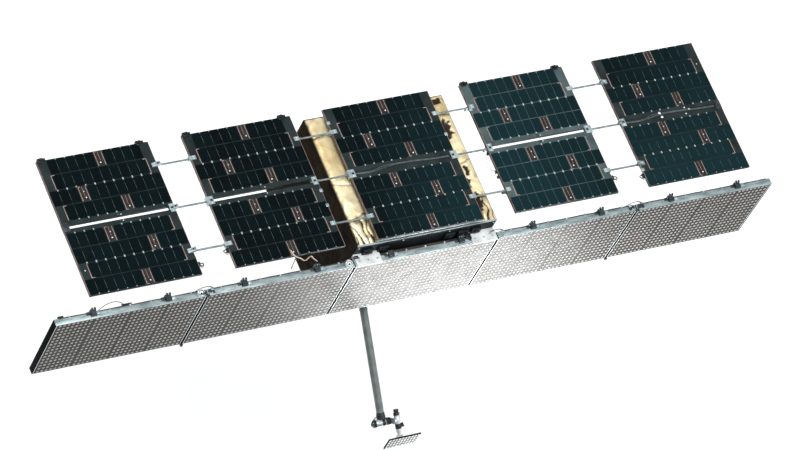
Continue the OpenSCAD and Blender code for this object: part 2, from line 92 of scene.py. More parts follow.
class FinishTree:
    """The node tree of one material, with short ways to add to it."""

    def __init__(self, name: str) -> None:
        """Starts a material.

        Args:
            name: the material's name.
        """
        self.material = bpy.data.materials.new(name)
        self.material.use_nodes = True
        self.tree = self.material.node_tree
        self.shader = self.tree.nodes["Principled BSDF"]
        self.place = self.add("ShaderNodeTexCoord").outputs["Object"]

    def add(self, kind: str, **settings: object) -> bpy.types.Node:
        """Adds a node.

        Args:
            kind: the node's type.
            **settings: values of its properties.

        Returns:
            The node.
        """
        node = self.tree.nodes.new(kind)
        for key, value in settings.items():
            setattr(node, key, value)
        return node

    def link(self, out: Socket, into: Socket) -> None:
        """Joins an output to an input."""
        self.tree.links.new(out, into)

    def feed(self, value: Socket | float, into: Socket) -> None:
        """Gives an input a linked socket or a plain number.

        Args:
            value: the socket or the number.
            into: the input.
        """
        if isinstance(value, Socket):
            self.link(value, into)
        else:
            into.default_value = value

    def stretched(self, stretch: Scale) -> Socket:
        """Object coordinates scaled along each axis.

        Args:
            stretch: scale along each axis.

        Returns:
            The scaled coordinates.
        """
        mapping = self.add("ShaderNodeMapping")
        mapping.inputs["Scale"].default_value = stretch
        self.link(self.place, mapping.inputs["Vector"])
        return mapping.outputs["Vector"]

    def noise(self, scale: float, detail: float = 4.0, stretch: Scale = (1, 1, 1)) -> Socket:
        """Cloudy noise from 0 to 1.

        Args:
            scale: blotches per metre.
            detail: octaves of finer noise.
            stretch: scale along each axis.

        Returns:
            The noise's value.
        """
        node = self.add("ShaderNodeTexNoise")
        node.inputs["Scale"].default_value = scale
        node.inputs["Detail"].default_value = detail
        self.link(self.stretched(stretch), node.inputs["Vector"])
        return node.outputs["Fac"]

    def facets(self, scale: float, stretch: Scale = (1, 1, 1)) -> Socket:
        """Distance to the nearest of many scattered points, which gives creased facets.

        Args:
            scale: points per metre.
            stretch: scale along each axis.

        Returns:
            The distance.
        """
        node = self.add("ShaderNodeTexVoronoi", feature="F1", distance="EUCLIDEAN")
        node.inputs["Scale"].default_value = scale
        self.link(self.stretched(stretch), node.inputs["Vector"])
        return node.outputs["Distance"]

    def sum_of(self, operation: str, a: Socket | float, b: Socket | float = 0.0) -> Socket:
        """Does one arithmetic operation.

        Args:
            operation: the operation's name.
            a: the first value.
            b: the second value, where there is one.

        Returns:
            The result.
        """
        node = self.add("ShaderNodeMath", operation=operation)
        self.feed(a, node.inputs[0])
        self.feed(b, node.inputs[1])
        return node.outputs["Value"]

    def axis(self, name: str) -> Socket:
        """One object coordinate.

        Args:
            name: X, Y or Z.

        Returns:
            The coordinate.
        """
        node = self.add("ShaderNodeSeparateXYZ")
        self.link(self.place, node.inputs["Vector"])
        return node.outputs[name]

    def lines(self, name: str, pitch: float, width: float, shift: float = 0.0) -> Socket:
        """1 on thin lines square to an axis, and 0 between them.

        Args:
            name: the axis that the lines are spaced along.
            pitch: the distance from line to line.
            width: the width of a line.
            shift: the place of one line.

        Returns:
            The mask.
        """
        turns = self.sum_of("DIVIDE", self.sum_of("SUBTRACT", self.axis(name), shift), pitch)
        return self.sum_of("LESS_THAN", self.sum_of("FRACT", turns), width / pitch)

    def spread(self, value: Socket, low: float, high: float, start: float = 0.3, end: float = 0.7) -> Socket:
        """Maps a value from one span to another, and holds it at its ends outside.

        Args:
            value: the value to map.
            low: the result at the start.
            high: the result at the end.
            start: where the value's span starts.
            end: where it ends.

        Returns:
            The mapped value.
        """
        node = self.add("ShaderNodeMapRange")
        for key, number in (("From Min", start), ("From Max", end), ("To Min", low), ("To Max", high)):
            node.inputs[key].default_value = number
        self.link(value, node.inputs["Value"])
        return node.outputs["Result"]

    def blend(self, share: Socket, low: Colour | Socket, high: Colour | Socket) -> Socket:
        """Mixes two colours.

        Args:
            share: how much of the second colour there is, from 0 to 1.
            low: the first colour.
            high: the second colour.

        Returns:
            The mixed colour.
        """
        node = self.add("ShaderNodeMix", data_type="RGBA")
        self.link(share, node.inputs[0])
        for colour, socket in ((low, node.inputs[6]), (high, node.inputs[7])):
            if isinstance(colour, Socket):
                self.link(colour, socket)
            else:
                socket.default_value = (*colour, 1.0)
        return node.outputs[2]

    def attribute(self, name: str) -> Socket:
        """A number that the mesh carries under that name."""
        return self.add("ShaderNodeAttribute", attribute_name=name).outputs["Fac"]

    def relief(self, height: Socket, strength: float, depth: float) -> None:
        """Bumps the surface, on top of any bump that it already has.

        Args:
            height: the height of the bumps, from 0 to 1.
            strength: how strongly they show.
            depth: their depth in metres at full height.
        """
        node = self.add("ShaderNodeBump")
        node.inputs["Strength"].default_value = strength
        node.inputs["Distance"].default_value = depth
        self.link(height, node.inputs["Height"])
        normal = self.shader.inputs["Normal"]
        if normal.is_linked:
            self.link(normal.links[0].from_socket, node.inputs["Normal"])
        self.link(node.outputs["Normal"], normal)


@dataclass(frozen=True)
class Finish:
    """A surface whose colour, gloss and relief vary a little from place to place.

    Attributes:
        name: what a maker calls it.
        dark: the darker of its two colours.
        light: the lighter one.
        metallic: 1 for bare metal.
        smooth: its lowest roughness.
        rough: its highest roughness.
        grain: blotches of colour per metre.
        stretch: scale of the grain along each axis.
        relief: strength of its fine bumps.
        fine: fine bumps per metre.
        specular: strength of its reflection.
    """

    name: str
    dark: Colour
    light: Colour
    metallic: float = 0.0
    smooth: float = 0.35
    rough: float = 0.55
    grain: float = 30.0
    stretch: Scale = (1, 1, 1)
    relief: float = 0.25
    fine: float = 700.0
    specular: float = 0.5

    @cache
    def material(self) -> bpy.types.Material:
        """Makes the finish's material the first time that it is asked for.

        Returns:
            The material.
        """
        tree = FinishTree(self.name)
        tree.shader.inputs["Metallic"].default_value = self.metallic
        tree.shader.inputs["Specular IOR Level"].default_value = self.specular
        self.wear(tree)
        tree.link(self.colour(tree), tree.shader.inputs["Base Color"])
        return tree.material

    def colour(self, tree: FinishTree) -> Socket:
        """The colour over the surface."""
        return tree.blend(tree.spread(tree.noise(self.grain, 6, self.stretch), 0, 1), self.dark, self.light)

    def wear(self, tree: FinishTree) -> None:
        """Adds uneven gloss and fine bumps.

        Args:
            tree: the material's node tree.
        """
        worn = tree.spread(tree.noise(self.grain * 2.3, 5, self.stretch), self.smooth, self.rough)
        tree.link(worn, tree.shader.inputs["Roughness"])
        tree.relief(tree.noise(self.fine, 3, self.stretch), self.relief, 0.0004)


@dataclass(frozen=True)
class CellFinish(Finish):
    """Cover glass over a cell, with thin fingers along the cell. A per-face value of the mesh blends it from
    its dark colour towards its light teal one: a painted sheen, with a little random spread.

    Attributes:
        finger: the colour of the fingers.
        finger_pitch: the distance from finger to finger.
        finger_width: the width of a finger.
        cloud: how much the painted sheen varies at random over the cells.
    """

    finger: Colour = (0.004, 0.007, 0.008)
    finger_pitch: float = 0.0024
    finger_width: float = 0.0003
    cloud: float = 0.25

    def colour(self, tree: FinishTree) -> Socket:
        """The cell's colour with its painted sheen, and its fingers.

        Args:
            tree: the material's node tree.

        Returns:
            The colour.
        """
        cloud = tree.sum_of("MULTIPLY", tree.noise(self.grain, 3), self.cloud)
        # Painted sheen: the per-face value lifts the cell from dark towards teal where a reflection would
        # fall.
        sheened_tint = tree.blend(tree.sum_of("ADD", tree.attribute("sheen_and_tint"), cloud), self.dark, self.light)
        return tree.blend(tree.lines("X", self.finger_pitch, self.finger_width), sheened_tint, self.finger)


@dataclass(frozen=True)
class BoardFinish(Finish):
    """The antenna's face: lacquered board with a fine joint between its tiles.

    Attributes:
        joint: the colour of the joints.
        tile_pitch: the distance from joint to joint.
        joint_width: the width of a joint.
    """

    joint: Colour = (0.014, 0.013, 0.012)
    tile_pitch: float = 0.1625
    joint_width: float = 0.0016

    def colour(self, tree: FinishTree) -> Socket:
        """The board's colour, with the joints."""
        joints = tree.lines("X", self.tile_pitch, self.joint_width, -self.joint_width / 2)
        return tree.blend(joints, super().colour(tree), self.joint)


@dataclass(frozen=True)
class WovenFinish(Finish):
    """Carbon fibre face sheet under a thin film, with its weave.

    Attributes:
        weave: the distance from one thread to the next of its colour.
    """

    weave: float = 0.004

    def wear(self, tree: FinishTree) -> None:
        """Adds the weave, on top of the finish's own wear.

        Args:
            tree: the material's node tree.
        """
        super().wear(tree)
        warp = tree.lines("X", self.weave, self.weave / 2)
        weft = tree.lines("Y", self.weave, self.weave / 2)
        tree.relief(tree.sum_of("COMPARE", warp, weft), 0.12, 0.0003)


@dataclass(frozen=True)
class FoilFinish(Finish):
    """Gold foil, creased over and over, with painted shade in its creases, which the mesh carries as a
    per-vertex value.

    Attributes:
        crease_shade: the colour of the painted shade down in the creases.
        creases: creased facets per metre.
    """

    crease_shade: Colour = (0.10, 0.045, 0.012)
    creases: float = 42.0

    def colour(self, tree: FinishTree) -> Socket:
        """Gold that turns brown with painted shade in the creases."""
        gold = tree.blend(tree.spread(tree.noise(self.grain, 6), 0, 1), self.dark, self.light)
        return tree.blend(tree.attribute("crease_shade"), gold, self.crease_shade)

    def wear(self, tree: FinishTree) -> None:
        """Adds facets of several sizes.

        Args:
            tree: the material's node tree.
        """
        worn = tree.spread(tree.noise(self.grain * 3, 4), self.smooth, self.rough)
        tree.link(worn, tree.shader.inputs["Roughness"])
        tree.relief(tree.facets(self.creases, (1.0, 0.8, 1.1)), 0.45, 0.008)
        tree.relief(tree.facets(self.creases * 3.1, (1.2, 1.0, 0.9)), 0.2, 0.002)
        tree.relief(tree.noise(self.fine, 2), self.relief, 0.0004)


@dataclass(frozen=True)
class BrushedFinish(Finish):
    """Machined or brushed metal, with fine lines along one axis.

    Attributes:
        brush: scale of the lines along each axis.
    """

    brush: Scale = (1.0, 30.0, 30.0)

    def wear(self, tree: FinishTree) -> None:
        """Adds brush lines to the gloss and the relief.

        Args:
            tree: the material's node tree.
        """
        strokes = tree.noise(90, 3, self.brush)
        tree.link(tree.spread(strokes, self.smooth, self.rough), tree.shader.inputs["Roughness"])
        tree.relief(strokes, self.relief, 0.0002)


# The light teal colour of the cell glass is a painted sheen that the per-face value blends in; the dark one
# is the glass's own colour.
CELL = CellFinish("cell_glass", (0.0004, 0.0007, 0.0009), (0.0040, 0.016, 0.019), smooth=0.10, rough=0.2,
                  grain=55, relief=0.03, specular=0.05)
SUBSTRATE = WovenFinish("array_face_sheet", (0.0068, 0.0115, 0.0115), (0.0165, 0.0235, 0.0235), smooth=0.35,
                        rough=0.55, grain=14, specular=0.1)
# Painted sheen: a lighter copy of the face sheet for the fourth column, standing in for the reflection that
# brightens it.
SHEEN_SUBSTRATE = WovenFinish("face_sheet_painted_sheen", (0.030, 0.046, 0.048), (0.058, 0.080, 0.082), smooth=0.35,
                               rough=0.55, grain=14, specular=0.1)
BOARD = BoardFinish("antenna_board", (0.020, 0.019, 0.018), (0.033, 0.0315, 0.030), smooth=0.36, rough=0.46,
                    grain=9, relief=0.05, specular=0.05)
PATCH = Finish("antenna_patches", (0.225, 0.222, 0.21), (0.33, 0.325, 0.31), smooth=0.36, rough=0.48,
               grain=60, specular=0.05)
EDGE_STRIP = BrushedFinish("panel_edge_strip", (0.10, 0.135, 0.143), (0.33, 0.395, 0.41), metallic=0.4,
                           smooth=0.3, rough=0.55, relief=0.15, grain=22,
                           stretch=(0.6, 3.0, 3.0))
FITTING = Finish("dark_anodised", (0.012, 0.017, 0.019), (0.036, 0.047, 0.051), metallic=0.3, smooth=0.35,
                 rough=0.55, grain=50, specular=0.3)
BRACKET = Finish("white_enamel", (0.30, 0.32, 0.32), (0.50, 0.52, 0.515), smooth=0.3, rough=0.5, grain=25)
SILVER = BrushedFinish("silver_clip", (0.20, 0.27, 0.29), (0.46, 0.54, 0.56), metallic=0.7, smooth=0.25,
                       rough=0.45, relief=0.12)
ROD = BrushedFinish("rod_grey", (0.075, 0.095, 0.098), (0.20, 0.24, 0.245), metallic=0.45, smooth=0.3,
                    rough=0.5, relief=0.12)
DECK = Finish("black_deck", (0.004, 0.005, 0.006), (0.011, 0.013, 0.014), smooth=0.4, rough=0.6, grain=25,
              specular=0.15)
BLACK = Finish("black_paint", (0.003, 0.004, 0.005), (0.009, 0.012, 0.014), smooth=0.35, rough=0.6, grain=18,
               specular=0.15)
BUS_WALL = Finish("bus_wall", (0.12, 0.12, 0.12), (0.16, 0.16, 0.16), metallic=0.6, grain=20)
RING = BrushedFinish("turned_ring", (0.50, 0.50, 0.50), (0.74, 0.74, 0.74), metallic=1.0, smooth=0.22,
                     rough=0.4, brush=(30.0, 30.0, 30.0), relief=0.1)
# The darkest colour given to each gold foil below is the painted shade in its creases.
GOLD = FoilFinish("gold_blanket", (0.11, 0.062, 0.020), (0.36, 0.23, 0.090), metallic=0.7, smooth=0.2,
                  rough=0.42, grain=7, fine=500, relief=0.15, crease_shade=(0.03, 0.015, 0.005), creases=17.0,
                  specular=0.3)
# Painted shade: a darker copy of the gold foil for the left wall, which lies in the shade under the second
# column.
SHADED_GOLD = FoilFinish("gold_foil_painted_shade", (0.0022, 0.0011, 0.0004), (0.020, 0.011, 0.0036), metallic=0.05,
                       smooth=0.4, rough=0.6, grain=7, fine=300, relief=0.03, crease_shade=(0.003, 0.0015, 0.0005),
                       creases=9.0, specular=0.01)
PALE_GOLD = FoilFinish("pale_gold_foil", (0.47, 0.355, 0.165), (0.86, 0.755, 0.50), metallic=0.45, smooth=0.3,
                       rough=0.5, grain=9, fine=500, relief=0.2, creases=24.0, crease_shade=(0.014, 0.0065, 0.002))
BOOM = BrushedFinish("boom_tube_grey", (0.052, 0.064, 0.062), (0.10, 0.118, 0.115), metallic=0.25,
                     smooth=0.36, rough=0.5, brush=(40.0, 2.0, 2.0), relief=0.05)
MOTOR = Finish("motor_case", (0.004, 0.005, 0.006), (0.013, 0.016, 0.018), metallic=0.2, smooth=0.3,
               rough=0.5, grain=60, specular=0.3)
ARM = BrushedFinish("milled_arm", (0.24, 0.27, 0.28), (0.50, 0.54, 0.55), metallic=0.6, smooth=0.25,
                    rough=0.45)
PATCH_FACE = Finish("data_antenna_face", (0.27, 0.27, 0.265), (0.38, 0.38, 0.375), smooth=0.5, rough=0.65,
                    grain=30, specular=0.03)
SEAM_BLACK = Finish("matt_black_edge", (0.0025, 0.0028, 0.003), (0.0075, 0.008, 0.0085), smooth=0.65,
                    rough=0.8, grain=40, specular=0.02)
RIBBON = Finish("copper_ribbon", (0.17, 0.115, 0.097), (0.36, 0.265, 0.23), metallic=0.2, smooth=0.3,
                rough=0.5, grain=120, specular=0.3)
EDGE_FILM = Finish("edge_film", (0.050, 0.036, 0.031), (0.19, 0.135, 0.115), smooth=0.3, rough=0.5, grain=26,
                   specular=0.3)
TAB = Finish("cell_tab", (0.042, 0.054, 0.057), (0.12, 0.145, 0.15), metallic=0.3, smooth=0.3, rough=0.5,
             grain=90, specular=0.3)
SOLDER = Finish("solder", (0.34, 0.39, 0.40), (0.66, 0.71, 0.72), metallic=0.3, smooth=0.25, rough=0.45,
                grain=200)
GAP_FILM = Finish("wiring_film", (0.004, 0.0036, 0.0033), (0.018, 0.016, 0.0145), smooth=0.25, rough=0.45,
                  grain=110, specular=0.3)
WIRE_DARK = Finish("wire_black", (0.010, 0.010, 0.010), (0.030, 0.030, 0.030), smooth=0.35, rough=0.55,
                   grain=150)
WIRE_BROWN = Finish("wire_brown", (0.16, 0.075, 0.032), (0.36, 0.21, 0.12), smooth=0.3, rough=0.5, grain=150)
WIRE_WHITE = Finish("wire_white", (0.36, 0.36, 0.35), (0.55, 0.55, 0.53), smooth=0.35, rough=0.55, grain=150)
FLOOR = Finish("studio_floor", (0.86, 0.86, 0.86), (0.90, 0.90, 0.90), smooth=0.8, rough=0.9, grain=1.5,
               relief=0.02, fine=60, specular=0.1)


# ---------------------------------------------------------------- shapes


FINE_BEVEL = 0.0002
SMALL_BEVEL = 0.0008
BEVEL = 0.001


def mesh_of(name: str, part: bmesh.types.BMesh) -> bpy.types.Mesh:
    """Turns a bmesh into a mesh and frees it.

    Args:
        name: the mesh's name.
        part: the bmesh.

    Returns:
        The mesh.
    """
    mesh = bpy.data.meshes.new(name)
    part.to_mesh(mesh)
    part.free()
    return mesh


def placed(name: str, data: bpy.types.ID) -> bpy.types.Object:
    """Puts an object in the scene.

    Args:
        name: the object's name.
        data: its mesh, light or camera.

    Returns:
        The object.
    """
    made = bpy.data.objects.new(name, data)
    bpy.context.scene.collection.objects.link(made)
    return made


class Shape:
    """A mesh under construction. Every solid added to it keeps its own material number."""

    def __init__(self) -> None:
        """Starts empty."""
        self.bm = bmesh.new()
        # A per-face layer for each cell's painted sheen, with a little random spread.
        self.bm.faces.layers.float.new("sheen_and_tint")

    def absorb(self, part: bmesh.types.BMesh, number: int) -> None:
        """Adds a part and frees it.

        Args:
            part: the part's bmesh.
            number: the number of its material on the finished piece.
        """
        for face in part.faces:
            face.material_index = number
        mesh = mesh_of("part", part)
        self.bm.from_mesh(mesh)
        bpy.data.meshes.remove(mesh)

    def box(self, corner: Sequence[float], opposite: Sequence[float], bevel: float = 0.0,
            number: int = 0) -> None:
        """Adds a block between two opposite corners, given in any order.

        Args:
            corner: one corner.
            opposite: the corner opposite to it.
            bevel: the bevel of its edges.
            number: the number of its material.
        """
        part = bmesh.new()
        low, high = (Vector(map(pick, corner, opposite)) for pick in (min, max))
        bmesh.ops.create_cube(part, size=1.0)
        bmesh.ops.scale(part, vec=high - low, verts=part.verts)
        bmesh.ops.translate(part, vec=(low + high) / 2, verts=part.verts)
        if bevel:
            bmesh.ops.bevel(part, geom=part.edges[:], offset=bevel, offset_type="OFFSET", segments=2,
                            profile=0.5, affect="EDGES", material=-1)
        self.absorb(part, number)

    def cylinder(self, start: Sequence[float], end: Sequence[float], radius: float, top: float | None = None,
                 sides: int = 16, bevel: float = 0.0, number: int = 0) -> None:
        """Adds a cylinder or cone between two points.

        Args:
            start: the middle of its first end.
            end: the middle of its other end.
            radius: the radius at the start.
            top: the radius at the end, or None where it is the same.
            sides: its number of sides.
            bevel: the bevel of its rims.
            number: the number of its material.
        """
        part = bmesh.new()
        start, end = Vector(start), Vector(end)
        line = end - start
        bmesh.ops.create_cone(part, cap_ends=True, segments=sides, radius1=radius,
                              radius2=radius if top is None else top, depth=line.length)
        if bevel:
            rims = [e for e in part.edges if abs(e.verts[0].co.z - e.verts[1].co.z) < 1e-7]
            bmesh.ops.bevel(part, geom=rims, offset=bevel, offset_type="OFFSET", segments=2, profile=0.5,
                            affect="EDGES", material=-1)
        turn = Vector((0, 0, 1)).rotation_difference(line).to_matrix().to_4x4()
        bmesh.ops.transform(part, matrix=Matrix.Translation((start + end) / 2) @ turn, verts=part.verts)
        self.absorb(part, number)

    def tube(self, points: Sequence[Sequence[float]], radius: float, sides: int = 6, number: int = 0) -> None:
        """Adds a closed tube along a line of points, by extruding its ring from point to point.

        Args:
            points: the points of its centreline.
            radius: its radius.
            sides: its number of sides.
            number: the number of its material.
        """
        part = bmesh.new()
        path = [Vector(p) for p in points]
        ring = bmesh.ops.create_circle(part, cap_ends=False, segments=sides, radius=radius)["verts"]
        ahead = (path[1] - path[0]).normalized()
        turn = Vector((0, 0, 1)).rotation_difference(ahead).to_matrix().to_4x4()
        bmesh.ops.transform(part, matrix=Matrix.Translation(path[0]) @ turn, verts=ring)
        for k in range(1, len(path)):
            edges = [e for e in part.edges if e.verts[0] in ring and e.verts[1] in ring]
            made = bmesh.ops.extrude_edge_only(part, edges=edges)["geom"]
            ring = [v for v in made if isinstance(v, bmesh.types.BMVert)]
            bmesh.ops.translate(part, vec=path[k] - path[k - 1], verts=ring)
            onward = (path[min(k + 1, len(path) - 1)] - path[max(k - 1, 0)]).normalized()
            bmesh.ops.rotate(part, cent=path[k], matrix=ahead.rotation_difference(onward).to_matrix(),
                             verts=ring)
            ahead = onward
        bmesh.ops.holes_fill(part, edges=part.edges[:], sides=0)
        bmesh.ops.recalc_face_normals(part, faces=part.faces[:])
        self.absorb(part, number)

    def ring(self, centre: Sequence[float], axis: Sequence[float], radius: float, thick: float,
             turn: float = 360.0, start: float = 0.0, sides: int = 6, steps: int = 16,
             number: int = 0) -> None:
        """Adds a ring or an arc of round bar.

        Args:
            centre: the middle of the ring.
            axis: the direction square to the ring.
            radius: the radius of the bar's centreline.
            thick: the bar's own radius.
            turn: how far the bar goes round, in degrees.
            start: where it starts, in degrees.
            sides: sides of the bar.
            steps: steps round the ring.
            number: the number of its material.
        """
        up = Vector((0, 0, 1)).rotation_difference(Vector(axis))
        points = []
        for k in range(steps + 1):
            angle = math.radians(start + turn * k / steps)
            points.append(Vector(centre) + up @ Vector((radius * math.cos(angle), radius * math.sin(angle),
                                                        0)))
        self.tube(points, thick, sides, number)

    def dome(self, centre: Sequence[float], radius: float, height: float, number: int = 0) -> None:
        """Adds a low round blob that stands up along Z.

        Args:
            centre: its middle.
            radius: its radius.
            height: its height over the middle.
            number: the number of its material.
        """
        part = bmesh.new()
        bmesh.ops.create_uvsphere(part, u_segments=8, v_segments=5, radius=radius)
        bmesh.ops.scale(part, vec=(1, 1, height / radius), verts=part.verts)
        bmesh.ops.translate(part, vec=Vector(centre), verts=part.verts)
        self.absorb(part, number)

    def screw(self, foot: Sequence[float], axis: Sequence[float], radius: float = 0.0028,
              number: int = 0) -> None:
        """Adds a pan head screw: a washer and a tapered head.

        Args:
            foot: the point where it meets the surface.
            axis: the direction that it stands out in.
            radius: the radius of its head.
            number: the number of its material.
        """
        foot, axis = Vector(foot), Vector(axis).normalized()
        self.cylinder(foot, foot + axis * 0.0006, radius * 1.5, sides=12, number=number)
        self.cylinder(foot, foot + axis * 0.0024, radius, top=radius * 0.8, sides=8, number=number)

    def stamp(self, part: bpy.types.Mesh, places: Iterable[Matrix],
              sheen_and_tints: Iterable[float] | None = None) -> None:
        """Adds one copy of a mesh at each place.

        Args:
            part: the mesh to copy.
            places: where each copy goes.
            sheen_and_tints: each copy's painted sheen, with its random spread, or None.
        """
        sheen_and_tint = self.bm.faces.layers.float["sheen_and_tint"]
        sheened_tints = iter(sheen_and_tints) if sheen_and_tints is not None else None
        for place in places:
            first_vert, first_face = len(self.bm.verts), len(self.bm.faces)
            self.bm.from_mesh(part)
            self.bm.verts.ensure_lookup_table()
            self.bm.faces.ensure_lookup_table()
            bmesh.ops.transform(self.bm, matrix=place, verts=self.bm.verts[first_vert:])
            if sheened_tints is not None:
                sheened_tint = next(sheened_tints)
                for face in self.bm.faces[first_face:]:
                    face[sheen_and_tint] = sheened_tint

    def piece(self, name: str, body: str | None, finishes: Sequence[Finish],
              crease: float = 32.0) -> bpy.types.Object:
        """Makes the finished piece.

        Args:
            name: the piece's name.
            body: the body that it moves with, or None where it is blended between two.
            finishes: its finishes, in the order of the material numbers.
            crease: the angle in degrees above which an edge stays sharp.

        Returns:
            The piece's object.
        """
        for face in self.bm.faces:
            face.smooth = True
        for edge in self.bm.edges:
            edge.smooth = edge.calc_face_angle(0.0) < math.radians(crease)
        mesh = mesh_of(name, self.bm)
        for finish in finishes:
            mesh.materials.append(finish.material())
        made = placed(name, mesh)
        if body:
            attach(made, body)
        log.info("%s: %d faces on %s", name, len(mesh.polygons), body or "two bodies")
        return made


def template(build: Callable[[bmesh.types.BMesh], None]) -> bpy.types.Mesh:
    """A small mesh to stamp.

    Args:
        build: shapes the bmesh that it is given.

    Returns:
        The mesh.
    """
    part = bmesh.new()
    build(part)
    return mesh_of("stamp", part)


def plate(width: float, depth: float, height: float, crop: float = 0.0) -> bpy.types.Mesh:
    """A thin plate that stands on z = 0, with its two far corners cropped.

    Args:
        width: its size along X.
        depth: its size along Y.
        height: its thickness.
        crop: the legs of the cropped corners at +Y.

    Returns:
        A mesh to stamp.
    """
    def build(part: bmesh.types.BMesh) -> None:
        """Shapes the plate.

        Args:
            part: an empty bmesh.
        """
        bmesh.ops.create_cube(part, size=1.0)
        bmesh.ops.scale(part, vec=(width, depth, height), verts=part.verts)
        bmesh.ops.translate(part, vec=(0, 0, height / 2), verts=part.verts)
        if crop:
            corners = [e for e in part.edges
                       if abs(e.verts[0].co.z - e.verts[1].co.z) > height / 2 and e.verts[0].co.y > 0]
            bmesh.ops.bevel(part, geom=corners, offset=crop, offset_type="OFFSET", segments=1, profile=0.5,
                            affect="EDGES", material=-1)
    return template(build)


def smooth_path(points: Sequence[Sequence[float]], steps: int = 6) -> list[Vector]:
    """A smooth line through a few points.

    Args:
        points: the points that it passes.
        steps: how many stretches lie between two points.

    Returns:
        The points of the line.
    """
    given = [Vector(p) for p in points]
    ends = [given[0] * 2 - given[1], *given, given[-1] * 2 - given[-2]]
    line = []
    for k in range(1, len(ends) - 2):
        a, b, c, d = ends[k - 1:k + 3]
        for s in range(steps):
            t = s / steps
            line.append(0.5 * (2 * b + (c - a) * t + (2 * a - 5 * b + 4 * c - d) * t * t
                               + (3 * b - a - 3 * c + d) * t * t * t))
    return [*line, given[-1]]


def dress(finish: Finish, *nodes: str) -> None:
    """Gives a finish to nodes of the frame.

    Args:
        finish: the finish.
        *nodes: the names of the nodes.
    """
    for name in nodes:
        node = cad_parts[name]
        if node.material_slots:
            for slot in node.material_slots:
                slot.material = finish.material()
        else:
            node.data.materials.append(finish.material())
        log.info("%s: dressed in %s", name, finish.name)


# ---------------------------------------------------------------- foil blankets


class Facing(Enum):
    """The way that a blanket faces: its along, across and outward directions."""

    LEFT = ((0, 1, 0), (0, 0, 1), (-1, 0, 0))
    RIGHT = ((0, 1, 0), (0, 0, 1), (1, 0, 0))
    BACK = ((1, 0, 0), (0, 0, 1), (0, 1, 0))
    BOTTOM = ((0, 1, 0), (1, 0, 0), (0, 0, -1))
    TOP = ((0, 1, 0), (1, 0, 0), (0, 0, 1))

    def matrix(self) -> Matrix:
        """Turns a sheet from along, across and outward to the frame's axes."""
        return Matrix(self.value).transposed()


GOLDEN_ANGLE = 2.39996


def crumple(along: float, across: float, seed: int, coarse: float) -> float:
    """Height of creased foil at a place on the sheet.

    Args:
        along: the distance along the sheet.
        across: the distance across it.
        seed: picks its creases.
        coarse: its widest creases per metre.

    Returns:
        The height, from 0 to about 1.
    """
    total = 0.0
    for k in range(5):
        angle = seed * 1.7 + k * GOLDEN_ANGLE
        warp = noise.noise(Vector((along * 9, across * 9, seed + k * 7.3)))
        phase = (along * math.cos(angle) + across * math.sin(angle)) * (coarse + 7 * k) + 1.7 * warp
        total += abs((phase % 1.0) * 2 - 1) / (1 + 0.6 * k)
    return total / 3.0


